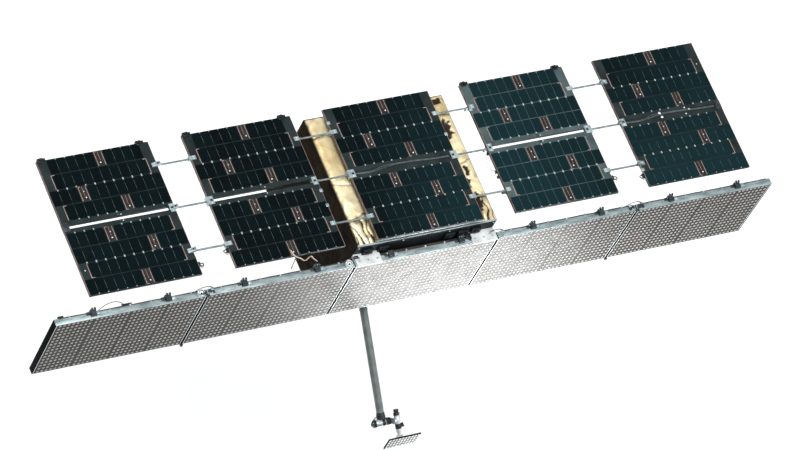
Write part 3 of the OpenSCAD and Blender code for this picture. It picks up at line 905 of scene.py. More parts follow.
@dataclass
class FoilBlanket:
    """A blanket of gold foil over one face of the bus.

    Attributes:
        node: the frame's node that it stands for.
        facing: the way it faces.
        seed: picks its creases.
        cell: the size of its mesh's faces.
        thick: the thickness of the sheet.
        hole: middle and radius of a round opening, or None.
        notch: lowest and highest along, then lowest and highest across, of a square opening, or None.
        finish: its finish.
        size: its length and width, read from its node.
    """

    node: str
    facing: Facing
    seed: int
    cell: float = 0.007
    thick: float = 0.0008
    hole: tuple[float, float, float] | None = None
    notch: tuple[float, float, float, float] | None = None
    finish: Finish = GOLD
    size: tuple[float, float] = field(init=False, default=(0.0, 0.0))

    def height(self, along: float, across: float, room: float) -> tuple[float, float]:
        """Height of the sheet and its painted crease shade at a place.

        Args:
            along: the share of its length, from 0 to 1.
            across: the share of its width.
            room: the height that the blanket may fill.

        Returns:
            The height in metres, and the painted crease shade from 0 to 1.
        """
        rise = crumple(along * self.size[0], across * self.size[1], self.seed, 5.0)
        rim = min(along * self.size[0], (1 - along) * self.size[0], across * self.size[1],
                  (1 - across) * self.size[1])
        # Painted shade: the low places of the crumple are darkened.
        return room * min(1.0, rise) * min(1.0, 0.15 + rim / 0.03), max(0.0, 0.6 - 1.5 * rise)

    def outline(self, along: float, across: float) -> tuple[float, float]:
        """Moves a place on the sheet, for an edge that isn't straight."""
        return along, across

    def is_open(self, spot: Vector) -> bool:
        """Whether a place lies in the hole or the notch.

        Args:
            spot: the place, along and across.

        Returns:
            True where the sheet is open.
        """
        if self.hole and (spot - Vector(self.hole[:2])).length < self.hole[2]:
            return True
        if self.notch:
            x0, x1, y0, y1 = self.notch
            return x0 < spot.x < x1 and y0 < spot.y < y1
        return False

    def build(self) -> None:
        """Builds the sheet and puts it in place of its node."""
        low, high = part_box(self.node)
        turn = self.facing.matrix()
        corners = [turn.transposed() @ low, turn.transposed() @ high]
        least = Vector(map(min, *corners))
        most = Vector(map(max, *corners))
        self.size = (most.x - least.x, most.y - least.y)
        part = bmesh.new()
        bmesh.ops.create_grid(part, x_segments=max(2, round(self.size[0] / self.cell)),
                              y_segments=max(2, round(self.size[1] / self.cell)), size=0.5)
        crease_shades = []
        room = most.z - least.z - self.thick
        for vert in part.verts:
            along, across = self.outline(vert.co.x + 0.5, vert.co.y + 0.5)
            rise, crease_shade = self.height(along, across, room)
            crease_shades.append(crease_shade)
            vert.co = Vector((least.x + along * self.size[0], least.y + across * self.size[1],
                              least.z + rise))
        # A per-vertex layer of painted shade for the creases.
        layer = part.verts.layers.float.new("crease_shade")
        for vert, crease_shade in zip(part.verts, crease_shades):
            vert[layer] = crease_shade
        gone = [f for f in part.faces if self.is_open(f.calc_center_median().xy)]
        bmesh.ops.delete(part, geom=gone, context="FACES")
        bmesh.ops.transform(part, matrix=turn.to_4x4(), verts=part.verts)
        bmesh.ops.recalc_face_normals(part, faces=part.faces[:])
        outward = Vector(self.facing.value[2])
        if sum(f.normal.dot(outward) for f in part.faces) < 0:
            bmesh.ops.reverse_faces(part, faces=part.faces[:])
        for face in part.faces:
            face.smooth = True
        mesh = mesh_of(self.node, part)
        mesh.materials.append(self.finish.material())
        made = placed(f"{self.node}_sheet", mesh)
        wall = made.modifiers.new("wall", "SOLIDIFY")
        wall.thickness, wall.offset = self.thick, -1.0
        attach(made, "bus")
        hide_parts(self.node)
        area = self.size[0] * self.size[1]
        if self.hole:
            area -= math.pi * self.hole[2] ** 2
        log.info("%s_sheet: %d faces", self.node, len(mesh.polygons))


@dataclass
class TopFoil(FoilBlanket):
    """A thick fold of foil on the deck, drawn flat in the middle and gathered at its ends.

    Attributes:
        side: -1 for the left strip, 1 for the right one.
        bands: each crease across the strip, which dips it and is painted with shade: its place along it, its
            slope and its depth.
        shaded_tears: each dark tear of the right strip, which dips it and is painted with shade: its middle
            along and across, and its half sizes.
    """

    side: int = -1
    finish: Finish = PALE_GOLD
    cell: float = 0.0045
    bands: tuple[tuple[float, float, float], ...] = ((0.435, 0.05, 0.7), (0.865, -0.02, 0.9),
                                                     (0.235, -0.06, 0.9))
    shaded_tears: tuple[tuple[float, float, float, float], ...] = (
        (0.735, 0.55, 0.075, 0.30), (0.40, 0.62, 0.05, 0.12), (0.30, 0.45, 0.04, 0.10),
        (0.15, 0.55, 0.09, 0.14), (0.955, 0.60, 0.03, 0.26))

    def outline(self, along: float, across: float) -> tuple[float, float]:
        """Draws the strip in unevenly at its inner edge.

        Args:
            along: the share of its length, from 0 to 1.
            across: the share of its width.

        Returns:
            The two shares of the place that it moves to.
        """
        inner = across if self.side > 0 else 1 - across
        wave = 0.5 + 0.5 * noise.noise(Vector((along * 6, self.seed, 0)))
        depth = 0.10 * wave
        inner = depth + (1 - depth) * inner
        return along, inner if self.side > 0 else 1 - inner

    def height(self, along: float, across: float, room: float) -> tuple[float, float]:
        """Flat in the middle, pinched at the near rod, and gathered in long folds at the near end.

        Args:
            along: the share of its length, from 0 to 1.
            across: the share of its width.
            room: the height that the strip may fill.

        Returns:
            The height in metres, and the painted crease shade from 0 to 1.
        """
        inner = across if self.side > 0 else 1 - across
        rim = min(across, 1 - across, along * 6, (1 - along) * 6)
        crown = min(1.0, 0.05 + rim * 4.5)
        x, y = along * self.size[0], across * self.size[1]
        rise = crumple(x, y, self.seed, 7)
        drape = max(0.0, 1 - along / 0.24)
        bulge = max(0.0, 1 - abs(along - 0.33) / 0.10)
        far = max(0.0, (along - 0.86) / 0.14)
        rough = 0.12 + 0.65 * max(drape, far) + 0.35 * bulge + (0.22 if self.side > 0 else 0.0)
        sway = noise.noise(Vector((along * 9, inner * 2.4, self.seed)))
        fan = (inner * 2.6 + 1.6 * (inner - 0.35) * drape + 1.2 * sway) % 1.0
        ridge = abs(fan * 2 - 1)
        share = 0.60 + 0.35 * bulge - 0.55 * rough * rise - 0.55 * min(1.0, 1.6 * drape) * (1 - ridge) ** 2
        # Painted shade: the gathered folds of the drape at the near end, and the low places of rough crumpled
        # patches, are darkened.
        gathered = 3.0 * min(1.0, 2 * drape) * max(0.0, 0.36 - ridge) * 2
        crease_shade = gathered + rough * max(0.0, 0.7 - 1.5 * rise) * 1.4
        # Each band dips the strip and paints shade along its crease.
        for band, slope, deep in self.bands:
            near = max(0.0, 1 - abs(along - band - slope * inner
                                    - 0.008 * noise.noise(Vector((0, inner * 6, band)))) / 0.010)
            share -= 0.35 * near * deep
            crease_shade += near * deep
        # Painted shade along the outer edge of the left strip.
        crease_shade += 0.9 * max(0.0, 1 - (1 - inner) / 0.10) if self.side < 0 else 0.0
        # The dark tears on the right strip dip the foil and are painted with shade.
        if self.side > 0:
            for middle, centre, long_half, wide in self.shaded_tears:
                ragged = 0.55 * noise.noise(Vector((x * 70, y * 55, middle * 9)))
                away = math.hypot((along - middle) / long_half,
                                  (across - centre - 0.5 * (along - middle)) / wide)
                torn = max(0.0, min(1.0, (1.0 + ragged - away) * 5))
                crease_shade += 1.6 * torn
                share -= 0.5 * torn
        return room * max(0.04, min(1.0, share)) * crown, min(1.0, crease_shade)


# ---------------------------------------------------------------- bus


@dataclass
class Bus:
    """The box-shaped body with its deck, front panel and launch ring.

    Attributes:
        edge: thickness of the bright edge strip on the deck.
        bolts: bolts round the ring's foot.
        bolt_circle: the radius that they lie on.
        foil: its blankets.
    """

    edge: float = 0.0012
    bolts: int = 12
    bolt_circle: float = 0.198
    foil: list[FoilBlanket] = field(default_factory=lambda: [
        # The left wall gets the darker copy of the gold foil: painted shade.
        FoilBlanket("foil_left", Facing.LEFT, 1, finish=SHADED_GOLD),
        FoilBlanket("foil_right", Facing.RIGHT, 2),
        FoilBlanket("foil_back", Facing.BACK, 3, hole=(0.0, 0.0, 0.2055)),
        FoilBlanket("foil_bottom", Facing.BOTTOM, 4, notch=(-0.65, -0.5885, -0.1285, -0.0715)),
        TopFoil("foil_top_left", Facing.TOP, 5, side=-1),
        TopFoil("foil_top_right", Facing.TOP, 6, side=1)])

    def dress(self) -> None:
        """Gives the frame's nodes their finishes."""
        dress(BUS_WALL, "bus_body")
        dress(DECK, "top_deck")
        dress(BLACK, "front_panel")
        dress(RING, "launch_ring")

    def deck_edges(self) -> None:
        """Bright strips along the deck's edges, and the rail under the middle solar column."""
        low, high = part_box("top_deck")
        shape = Shape()
        e = self.edge
        shape.box((low.x, low.y - e, high.z - 0.005), (high.x, low.y, high.z + e), 0.0003)
        shape.box((low.x, low.y, high.z), (high.x, low.y + 0.006, high.z + e), 0.0003)
        for y in (low.y + 0.05, high.y - 0.05):
            for x in (-0.12, 0.12):
                shape.box((x - 0.03, y - 0.015, high.z), (x + 0.03, y + 0.015, high.z + 0.004), SMALL_BEVEL)
        column_low, column_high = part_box("solar_panel_3")
        shape.box((column_low.x, column_low.y - 0.0005, column_low.z - 0.006),
                  (column_high.x, column_low.y + 0.006, column_low.z - 0.0008), 0.0004)
        shape.piece("deck_edge_strips", "bus", [EDGE_STRIP])

    def front(self) -> None:
        """Covers, connectors and screws on the black front panel."""
        low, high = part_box("front_panel")
        y = low.y
        shape = Shape()
        for x0, x1 in ((-0.30, -0.02), (0.02, 0.30)):
            shape.box((x0, y - 0.003, low.z + 0.02), (x1, y, high.z - 0.09), BEVEL)
        for x in (-0.26, -0.19, 0.11, 0.17, 0.23):
            shape.box((x - 0.022, y - 0.011, high.z - 0.055), (x + 0.022, y, high.z - 0.022), 0.0015)
            shape.cylinder((x, y - 0.015, high.z - 0.038), (x, y - 0.011, high.z - 0.038), 0.009, sides=16,
                           bevel=SMALL_BEVEL)
        for x in (low.x + 0.01, -0.105, 0.105, high.x - 0.01):
            for z in (low.z + 0.01, 0.0, high.z - 0.012):
                shape.screw((x, y, z), (0, -1, 0), number=1)
        shape.piece("front_covers", "bus", [BLACK, SILVER])

    def harness(self) -> None:
        """Cables in the space between the bus and the antenna."""
        low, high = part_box("front_panel")
        shape = Shape()
        y = low.y - 0.0125
        rng = random.Random(7)
        for k in range(4):
            z = high.z - 0.062 - 0.006 * k
            points = [(x, y + rng.uniform(-0.001, 0.001), z + rng.uniform(-0.003, 0.003))
                      for x in (-0.30, -0.22, -0.13, -0.04, 0.05, 0.14, 0.22, 0.30)]
            shape.tube(smooth_path(points), 0.0018, number=k % 2)
        shape.piece("front_harness", "bus", [WIRE_DARK, WIRE_BROWN])

    def ring_bolts(self) -> None:
        """Bolts round the ring's foot, and a connector with two plugs above it."""
        _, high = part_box("bus_body")
        shape = Shape()
        for k in range(self.bolts):
            angle = math.radians(360 * k / self.bolts + 7.5)
            x, z = self.bolt_circle * math.cos(angle), self.bolt_circle * math.sin(angle)
            shape.screw((x, high.y + 0.008, z), (0, 1, 0), 0.003)
        shape.box((-0.03, high.y, 0.213), (0.03, high.y + 0.012, 0.238), 0.0015, number=1)
        for x in (-0.012, 0.012):
            shape.cylinder((x, high.y + 0.012, 0.2255), (x, high.y + 0.020, 0.2255), 0.008, bevel=SMALL_BEVEL,
                           number=1)
        shape.piece("ring_fixings", "bus", [SILVER, MOTOR])

    def build(self) -> None:
        """Builds the whole sub-assembly."""
        self.dress()
        for blanket in self.foil:
            blanket.build()
        self.deck_edges()
        self.front()
        self.harness()
        self.ring_bolts()


# ---------------------------------------------------------------- antenna


@dataclass
class Antenna:
    """The five-panel antenna.

    Attributes:
        bodies: the body that each panel rides on.
        seams: each hinge seam's place along X, with the bodies on its inner and its outer side.
        tiles: tiles on a panel.
        columns: patches across a tile.
        rows: patches up a panel.
        patch: side of a patch.
        pitch: the distance from patch to patch along X.
        tile_pitch: the distance from tile to tile.
        strip: thickness of the edge strips.
        lip: width of the edge strips on the face.
        rib: the distance from a panel's middle to each of its two ribs.
        rib_room: half of the room that the cables leave for a rib.
        rivets: rivets along a panel's top edge.
    """

    bodies: tuple[str, ...] = ("antenna_left_outer", "antenna_left_inner", "bus", "antenna_right_inner",
                               "antenna_right_outer")
    seams: tuple[tuple[float, str, str], ...] = (
        (-0.975, "antenna_left_inner", "antenna_left_outer"), (-0.325, "bus", "antenna_left_inner"),
        (0.325, "bus", "antenna_right_inner"), (0.975, "antenna_right_inner", "antenna_right_outer"))
    tiles: int = 4
    columns: int = 8
    rows: int = 16
    patch: float = 0.0098
    pitch: float = 0.0189
    tile_pitch: float = 0.1575
    strip: float = 0.0007
    lip: float = 0.0017
    rib: float = 0.160
    rib_room: float = 0.016
    rivets: int = 13

    def patches(self, i: int) -> None:
        """The rows of square patches on a panel's face.

        Args:
            i: the panel's number, from 1 at the left.
        """
        low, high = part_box(f"antenna_panel_{i}")
        stamp = plate(self.patch, self.patch, 0.0005)
        facing = Matrix.Rotation(math.pi / 2, 4, "X")
        middle = (low.x + high.x) / 2
        step = (high.z - low.z) / self.rows
        places = []
        for tile in range(self.tiles):
            centre = middle + (tile - (self.tiles - 1) / 2) * self.tile_pitch
            x0 = centre - (self.columns - 1) / 2 * self.pitch
            for column in range(self.columns):
                for row in range(self.rows):
                    spot = Vector((x0 + column * self.pitch, low.y, low.z + (row + 0.5) * step))
                    places.append(Matrix.Translation(spot) @ facing)
        shape = Shape()
        shape.stamp(stamp, places)
        shape.piece(f"antenna_patches_{i}", self.bodies[i - 1], [PATCH])

    def edges(self, i: int) -> None:
        """Thin bright strips over a panel's edges, with their rivets.

        Args:
            i: the panel's number, from 1 at the left.
        """
        low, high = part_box(f"antenna_panel_{i}")
        shape = Shape()
        t, lip = self.strip, self.lip
        shape.box((low.x, low.y - t, high.z - 0.001), (high.x, high.y, high.z + t), FINE_BEVEL)
        shape.box((low.x, low.y - t, low.z - t), (high.x, high.y, low.z + 0.001), FINE_BEVEL)
        for x, way, dark in ((low.x, 1, 1.6), (high.x, -1, 3.2)):
            for a, b, number in ((0.0, dark, 2), (dark, dark + 1.3, 3)):
                near, far = x + way * a * lip, x + way * b * lip
                shape.box((near, low.y - t, low.z), (far, low.y, high.z), FINE_BEVEL, number=number)
        for x, way in ((low.x, 1), (high.x, -1)):
            shape.box((x, low.y, low.z), (x - way * t, high.y, high.z), FINE_BEVEL, number=2)
        y = (low.y + high.y) / 2
        for k in range(self.rivets):
            x = low.x + 0.02 + k * (high.x - low.x - 0.04) / (self.rivets - 1)
            shape.cylinder((x, y, high.z + t), (x, y, high.z + t + 0.0006), 0.0016, sides=8, number=1)
        shape.piece(f"antenna_edges_{i}", self.bodies[i - 1], [EDGE_STRIP, FITTING, SEAM_BLACK, SOLDER])

    def hold_downs(self, i: int) -> None:
        """The forked hold-down on top of each rib, its silver foot, and the clip below it.

        Args:
            i: the panel's number, from 1 at the left.
        """
        low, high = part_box(f"antenna_panel_{i}")
        middle = (low.x + high.x) / 2
        shape = Shape()
        top = high.z + 0.014
        for x in (middle - self.rib, middle + self.rib):
            if i != 3 or x > middle:
                for dx in (-0.008, 0.004):
                    shape.box((x + dx, high.y - 0.001, top - 0.003),
                              (x + dx + 0.006, high.y + 0.008, top + 0.011), 0.0012)
                shape.cylinder((x - 0.010, high.y + 0.003, top + 0.003),
                               (x + 0.013, high.y + 0.003, top + 0.003), 0.003, sides=12, number=1)
            shape.box((x + 0.012, high.y - 0.018, high.z), (x + 0.030, high.y - 0.004, high.z + 0.010), BEVEL,
                      number=1)
            shape.cylinder((x + 0.021, high.y - 0.011, high.z + 0.010),
                           (x + 0.021, high.y - 0.011, high.z + 0.014), 0.0045, sides=12, bevel=SMALL_BEVEL,
                           number=1)
            shape.box((x - 0.027, high.y - 0.012, high.z), (x - 0.013, high.y + 0.001, high.z + 0.006), BEVEL)
            shape.box((x - 0.016, low.y + 0.012, low.z - 0.0085), (x + 0.016, low.y + 0.026, low.z - 0.0005),
                      0.0012)
            for z in (low.z + 0.03, low.z + 0.12, high.z - 0.12, high.z - 0.03):
                shape.screw((x, high.y + 0.006, z), (0, 1, 0), number=1)
        shape.piece(f"antenna_hold_downs_{i}", self.bodies[i - 1], [FITTING, SILVER])

    def back(self, i: int) -> None:
        """Feed cables and tile electronics covers on a panel's back.

        Args:
            i: the panel's number, from 1 at the left.
        """
        low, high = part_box(f"antenna_panel_{i}")
        middle = (low.x + high.x) / 2
        shape = Shape()
        rng = random.Random(40 + i)
        inside, outside = self.rib - self.rib_room, self.rib + self.rib_room
        for row in range(3):
            z = high.z - 0.0065 - 0.0035 * row
            y = high.y + 0.0022 + 0.0012 * (row % 2)
            for start, end in ((low.x + 0.014, middle - outside), (middle - inside, middle + inside),
                               (middle + outside, high.x - 0.014)):
                count = max(3, round((end - start) / 0.045))
                points = [(start + (end - start) * k / count, y + rng.uniform(-0.0006, 0.0008),
                           z + rng.uniform(-0.001, 0.0022)) for k in range(count + 1)]
                shape.tube(smooth_path(points, 4), 0.0017, number=(0, 1, 0)[row])
        rises = [rng.uniform(0.0012, 0.0050) for _ in range(15)]
        points = [(low.x + 0.02 + (high.x - low.x - 0.04) * k / 14, high.y - 0.0015, high.z + rise)
                  for k, rise in enumerate(rises)]
        shape.tube(smooth_path(points, 4), 0.0019)
        for k in range(1, 14, 2):
            x, _, z = points[k]
            shape.box((x - 0.003, high.y - 0.005, high.z), (x + 0.003, high.y + 0.002, z + 0.0028), 0.0006,
                      number=2 if k % 4 == 1 else 1)
        if i != 3:
            for x in (middle - 0.235, middle - 0.075, middle + 0.075, middle + 0.235):
                shape.box((x - 0.016, high.y, low.z + 0.14), (x + 0.016, high.y + 0.004, high.z - 0.14),
                          SMALL_BEVEL, number=2)
        shape.piece(f"antenna_feed_{i}", self.bodies[i - 1], [WIRE_DARK, WIRE_WHITE, ARM])

    def loops(self) -> None:
        """Service loops of cable over the hinges, which bend with the panels."""
        _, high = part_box("antenna_panel_3")
        for number, (x, inner, outer) in enumerate(self.seams, 1):
            way = -1 if x < 0 else 1
            for letter, y, reach, rise, finish in (("a", high.y + 0.0035, 0.030, 0.017, WIRE_DARK),
                                                   ("b", high.y + 0.0060, 0.022, 0.011, WIRE_WHITE)):
                half = [(reach + 0.012, -0.006), (reach, 0.004), (reach * 0.5, rise * 0.85)]
                points = [(x - way * away, y, high.z + up) for away, up in half]
                points += [(x, y, high.z + rise)]
                points += [(x + way * away, y, high.z + up) for away, up in reversed(half)]
                shape = Shape()
                shape.tube(smooth_path(points, 5), 0.0015, sides=6)
                made = shape.piece(f"service_loop_{number}_{letter}", None, [finish])
                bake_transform(made, inner, outer, start=(x - way * 0.02, y, high.z),
                         end=(x + way * 0.02, y, high.z))

    def hinge_hardware(self) -> None:
        """Silver plates, springs and screws on both sides of each seam, at the top and the bottom."""
        low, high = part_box("antenna_panel_3")
        for number, (x, inner, outer) in enumerate(self.seams, 1):
            way = -1 if x < 0 else 1
            for body, side in ((inner, -way), (outer, way)):
                shape = Shape()
                a, b = sorted((x + side * 0.0045, x + side * 0.026))
                if body != "bus":
                    shape.box((a, low.y + 0.003, high.z), (b, low.y + 0.013, high.z + 0.0045), SMALL_BEVEL)
                    for part in (0.3, 0.75):
                        shape.screw((a + (b - a) * part, low.y + 0.008, high.z + 0.0045), (0, 0, 1), 0.0024)
                    c = (a + b) / 2 + side * 0.012
                    shape.box((c - 0.006, high.y - 0.010, high.z),
                              (c + 0.006, high.y - 0.001, high.z + 0.009), BEVEL)
                    shape.ring((c, high.y - 0.0055, high.z + 0.0125), (0, 1, 0), 0.0042, 0.0012, steps=12)
                    if body == outer and number < 3:
                        hub = Vector((c, low.y + 0.013, high.z + 0.007))
                        lean = Vector((0.1, -0.6, 0.8)).normalized()
                        shape.cylinder(hub - lean * 0.004, hub + lean * 0.004, 0.0095, sides=16, bevel=BEVEL,
                                       number=2)
                        shape.cylinder(hub + lean * 0.004, hub + lean * 0.0055, 0.0042, sides=12, number=1)
                        shape.ring(hub + lean * 0.001, lean, 0.0150, 0.0020, steps=20, number=2)
                        shape.ring(hub + Vector((side * 0.006, 0, 0.004)), (0.5, -0.6, 0.6), 0.0115, 0.0015,
                                   number=2)
                shape.box((a, low.y + 0.004, low.z - 0.0035), (b, low.y + 0.014, low.z), SMALL_BEVEL,
                          number=1)
                for part in (0.3, 0.75):
                    shape.screw((a + (b - a) * part, low.y + 0.009, low.z - 0.0035), (0, 0, -1), 0.0022,
                                number=1)
                shape.piece(f"hinge_plates_{number}_{'inner' if body == inner else 'outer'}", body,
                            [SILVER, MOTOR, SOLDER])

    def cable_arc(self) -> None:
        """The thin cable that stands up in an arc behind the left panel, and the dark stubs beside it."""
        _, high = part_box("antenna_panel_1")
        y = high.y + 0.004
        shape = Shape()
        points = [(-1.432, y, high.z - 0.004), (-1.424, y, high.z + 0.012), (-1.406, y, high.z + 0.035),
                  (-1.378, y, high.z + 0.043), (-1.350, y, high.z + 0.030), (-1.325, y, high.z + 0.006),
                  (-1.305, y, high.z - 0.003)]
        shape.tube(smooth_path(points, 5), 0.0016, number=1)
        shape.box((-1.335, y - 0.003, high.z), (-1.292, y + 0.003, high.z + 0.005), BEVEL)
        shape.box((-1.606, y - 0.003, high.z - 0.002), (-1.582, y + 0.003, high.z + 0.006), BEVEL)
        shape.piece("left_end_cable", "antenna_left_outer", [MOTOR, WIRE_DARK])

    def bracket_details(self) -> None:
        """Screws and a connector at the middle panel's brackets."""
        _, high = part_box("antenna_brackets")
        _, high_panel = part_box("antenna_panel_3")
        shape = Shape()
        for side in (-1, 1):
            for x in (0.222, 0.262, 0.302):
                shape.screw((side * x, high_panel.y - 0.012, high.z), (0, 0, 1), 0.0026)
        y, z = high_panel.y, high_panel.z
        shape.box((0.178, y - 0.014, z), (0.203, y + 0.012, z + 0.018), 0.0015, number=1)
        shape.box((-0.318, y + 0.001, z - 0.004), (-0.300, y + 0.014, z + 0.008), BEVEL, number=1)
        shape.piece("bracket_fixings", "bus", [SILVER, MOTOR])

    def build(self) -> None:
        """Builds the whole sub-assembly."""
        dress(BRACKET, "antenna_brackets")
        dress(SILVER, "antenna_hinge_bases")
        dress(FITTING, *(f"panel_fittings_{i}" for i in range(1, 6)))
        dress(BOARD, *(f"antenna_panel_{i}" for i in range(1, 6)))
        for i in range(1, 6):
            self.patches(i)
            self.edges(i)
            self.hold_downs(i)
            self.back(i)
        self.loops()
        self.hinge_hardware()
        self.cable_arc()
        self.bracket_details()


# ---------------------------------------------------------------- solar array


class Spot(Enum):
    """What lies at one position of a cell row."""

    CELL = "c"
    BARE = "b"
    GAP = "g"


@dataclass
class SolarColumn:
    """One column of the solar array: two halves with four rows of cells each.

    Attributes:
        number: which column, from 1 at the left.
        body: the body that it rides on.
        sheen_and_tints: painted sheen of its cells at the far left, far right, near left and near right, from
            0 to 1.
        open_gap: whether the halves have a see-through gap.
        row_depth: the distance from row to row.
        positions: positions in a row.
        crop: the legs of a cell's cropped corners.
        column_gap: the space between two cells of a row.
        row_gap: the space between two rows.
        glass: the thickness of the cells.
        rod: the distance from the middle rod to each outer one.
        ribbon: the width of the wiring ribbons.
        ribbon_height: their thickness.
        rim: the thickness of the film over the edges.
        far_rows: what lies at each position of the far half's rows, from the far edge inwards.
        near_rows: the same for the near half, from the gap outwards.
    """

    number: int
    body: str
    sheen_and_tints: tuple[float, float, float, float]
    open_gap: bool
    row_depth: float = 0.070
    positions: int = 12
    crop: float = 0.0068
    column_gap: float = 0.0021
    row_gap: float = 0.0031
    glass: float = 0.0008
    rod: float = 0.199
    ribbon: float = 0.0024
    ribbon_height: float = 0.0009
    rim: float = 0.0006
    far_rows: tuple[str, ...] = ("bcccccgccccb", "bccccccccccb", "cccgcccccccc", "bccccccgcccc")
    near_rows: tuple[str, ...] = ("ccccgccccccb", "ccccccccgccc", "bccccccccccb", "ccccccgccccc")

    def __post_init__(self) -> None:
        """Reads the column's place from the frame."""
        self.low, self.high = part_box(f"solar_panel_{self.number}")
        self.step = (self.high.x - self.low.x) / self.positions
        self.top = self.high.z
        self.middle = (self.low.y + self.high.y) / 2

    def row_middles(self) -> list[tuple[float, str, int]]:
        """The rows from the far edge to the near one.

        Returns:
            Each row's middle along Y, what lies at its positions, and the way its cropped corners point.
        """
        rows = []
        for k, spots in enumerate(self.far_rows):
            rows.append((self.high.y - (k + 0.5) * self.row_depth, spots, 1 if k % 2 == 0 else -1))
        for k, spots in enumerate(self.near_rows):
            rows.append((self.low.y + (3.5 - k) * self.row_depth, spots, 1 if k % 2 == 0 else -1))
        return rows

    def x_of(self, position: float) -> float:
        """The middle of a position along X."""
        return self.low.x + (position + 0.5) * self.step

    def sheen_and_tint(self, x: float, y: float) -> float:
        """The painted sheen of a cell, between the values at the column's corners.

        Args:
            x: the cell's place along X.
            y: its place along Y.

        Returns:
            The painted sheen, from 0 to 1.
        """
        u = (x - self.low.x) / (self.high.x - self.low.x)
        v = (self.high.y - y) / (self.high.y - self.low.y)
        a, b, c, d = self.sheen_and_tints
        return (a * (1 - u) + b * u) * (1 - v) + (c * (1 - u) + d * u) * v

    def cells(self) -> None:
        """The cells, each a thin glass plate with two cropped corners."""
        stamp = plate(self.step - self.column_gap, self.row_depth - self.row_gap, self.glass, self.crop)
        rng = random.Random(self.number)
        places, sheen_and_tints = [], []
        for y, spots, way in self.row_middles():
            turn = Matrix.Identity(4) if way > 0 else Matrix.Rotation(math.pi, 4, "Z")
            for position, spot in enumerate(spots):
                if Spot(spot) is Spot.CELL:
                    x = self.x_of(position)
                    places.append(Matrix.Translation((x, y, self.top)) @ turn)
                    # Painted sheen of each cell, with a little random spread.
                    sheen_and_tints.append(max(0.0, min(1.0, self.sheen_and_tint(x, y) + rng.uniform(-0.07, 0.07))))
        shape = Shape()
        shape.stamp(stamp, places, sheen_and_tints)
        shape.piece(f"solar_cells_{self.number}", self.body, [CELL])

    def interconnects(self) -> None:
        """Silver tabs between neighbouring cells, and the solder crosses at their cropped corners."""
        tab = plate(0.0008, 0.034, 0.0010)
        cross_arm = plate(0.0011, 0.0075, 0.0013)
        blob = template(lambda part: bmesh.ops.create_cone(part, cap_ends=True, segments=8, radius1=0.0019,
                                                           radius2=0.0012, depth=0.0024))
        tabs, arms, blobs = [], [], []
        for y, spots, way in self.row_middles():
            edge = y + way * self.row_depth / 2
            for position in range(self.positions - 1):
                if Spot(spots[position]) is Spot(spots[position + 1]) is Spot.CELL:
                    x = self.low.x + (position + 1) * self.step
                    tabs.append(Matrix.Translation((x, y, self.top)))
                    inside = min(abs(edge - self.high.y), abs(edge - self.low.y)) > 0.01
                    if inside:
                        spot = Vector((x, edge - way * 0.0015, self.top))
                        blobs.append(Matrix.Translation(spot + Vector((0, 0, 0.0010))))
                        for angle in (35, -35):
                            turn = Matrix.Rotation(math.radians(angle), 4, "Z")
                            arms.append(Matrix.Translation(spot) @ turn)
                    else:
                        blobs.append(Matrix.Translation((x, edge - way * 0.003, self.top + 0.0010)))
        shape = Shape()
        shape.stamp(tab, tabs)
        shape.piece(f"cell_tabs_{self.number}", self.body, [TAB])
        shape = Shape()
        shape.stamp(cross_arm, arms)
        shape.stamp(blob, blobs)
        shape.piece(f"interconnects_{self.number}", self.body, [SOLDER])

    def wiring(self) -> None:
        """Film, ribbons and solder in the wiring gaps, and a ribbon at each bare end."""
        shape = Shape()
        z = self.top
        ribbon, top = self.ribbon / 2, z + self.ribbon_height
        rng = random.Random(20 + self.number)
        for row, (y, spots, way) in enumerate(self.row_middles()):
            half = self.row_depth / 2 - 0.003
            for position, spot in enumerate(spots):
                x = self.x_of(position)
                if Spot(spot) is Spot.GAP:
                    w = self.step / 2
                    shape.box((x - w + 0.001, y - half, z), (x + w - 0.001, y + half, z + 0.0003), number=2)
                    for dx in (-w + 0.0045, w - 0.0045):
                        shape.box((x + dx - ribbon, y - half, z), (x + dx + ribbon, y + half, top),
                                  FINE_BEVEL)
                    shape.box((x - 0.0006, y - half * 0.3, z), (x + 0.0006, y + half, z + 0.0008))
                    side = -1 if row % 2 else 1
                    shape.box((x - w + 0.0045, y + side * half - ribbon, z),
                              (x - w + 0.013, y + side * half + ribbon, top), FINE_BEVEL)
                    shape.dome((x + rng.uniform(-0.004, 0.006), y - half * 0.55, z), 0.0033, 0.0022, number=1)
                    if row in (2, 4, 5):
                        shape.dome((x + 0.002, y + half * 0.3, z), 0.0027, 0.002, number=1)
                elif Spot(spot) is Spot.BARE:
                    inward = 1 if position == 0 else -1
                    edge = x + inward * (self.step / 2 - 0.004)
                    if row == 0:
                        continue
                    shape.box((edge - 0.0013, y - half, z), (edge + 0.0013, y + half, top), FINE_BEVEL)
                    foot = -way * half
                    shape.box((edge, y + foot - ribbon, z),
                              (edge + inward * 0.014, y + foot + ribbon, z + 0.0011), FINE_BEVEL)
                    if row in (1, 6) and (position > 0) == (row == 1):
                        shape.dome((x, y + 0.004, z), 0.003, 0.002, number=1)
        shape.piece(f"string_wiring_{self.number}", self.body, [RIBBON, SOLDER, GAP_FILM])

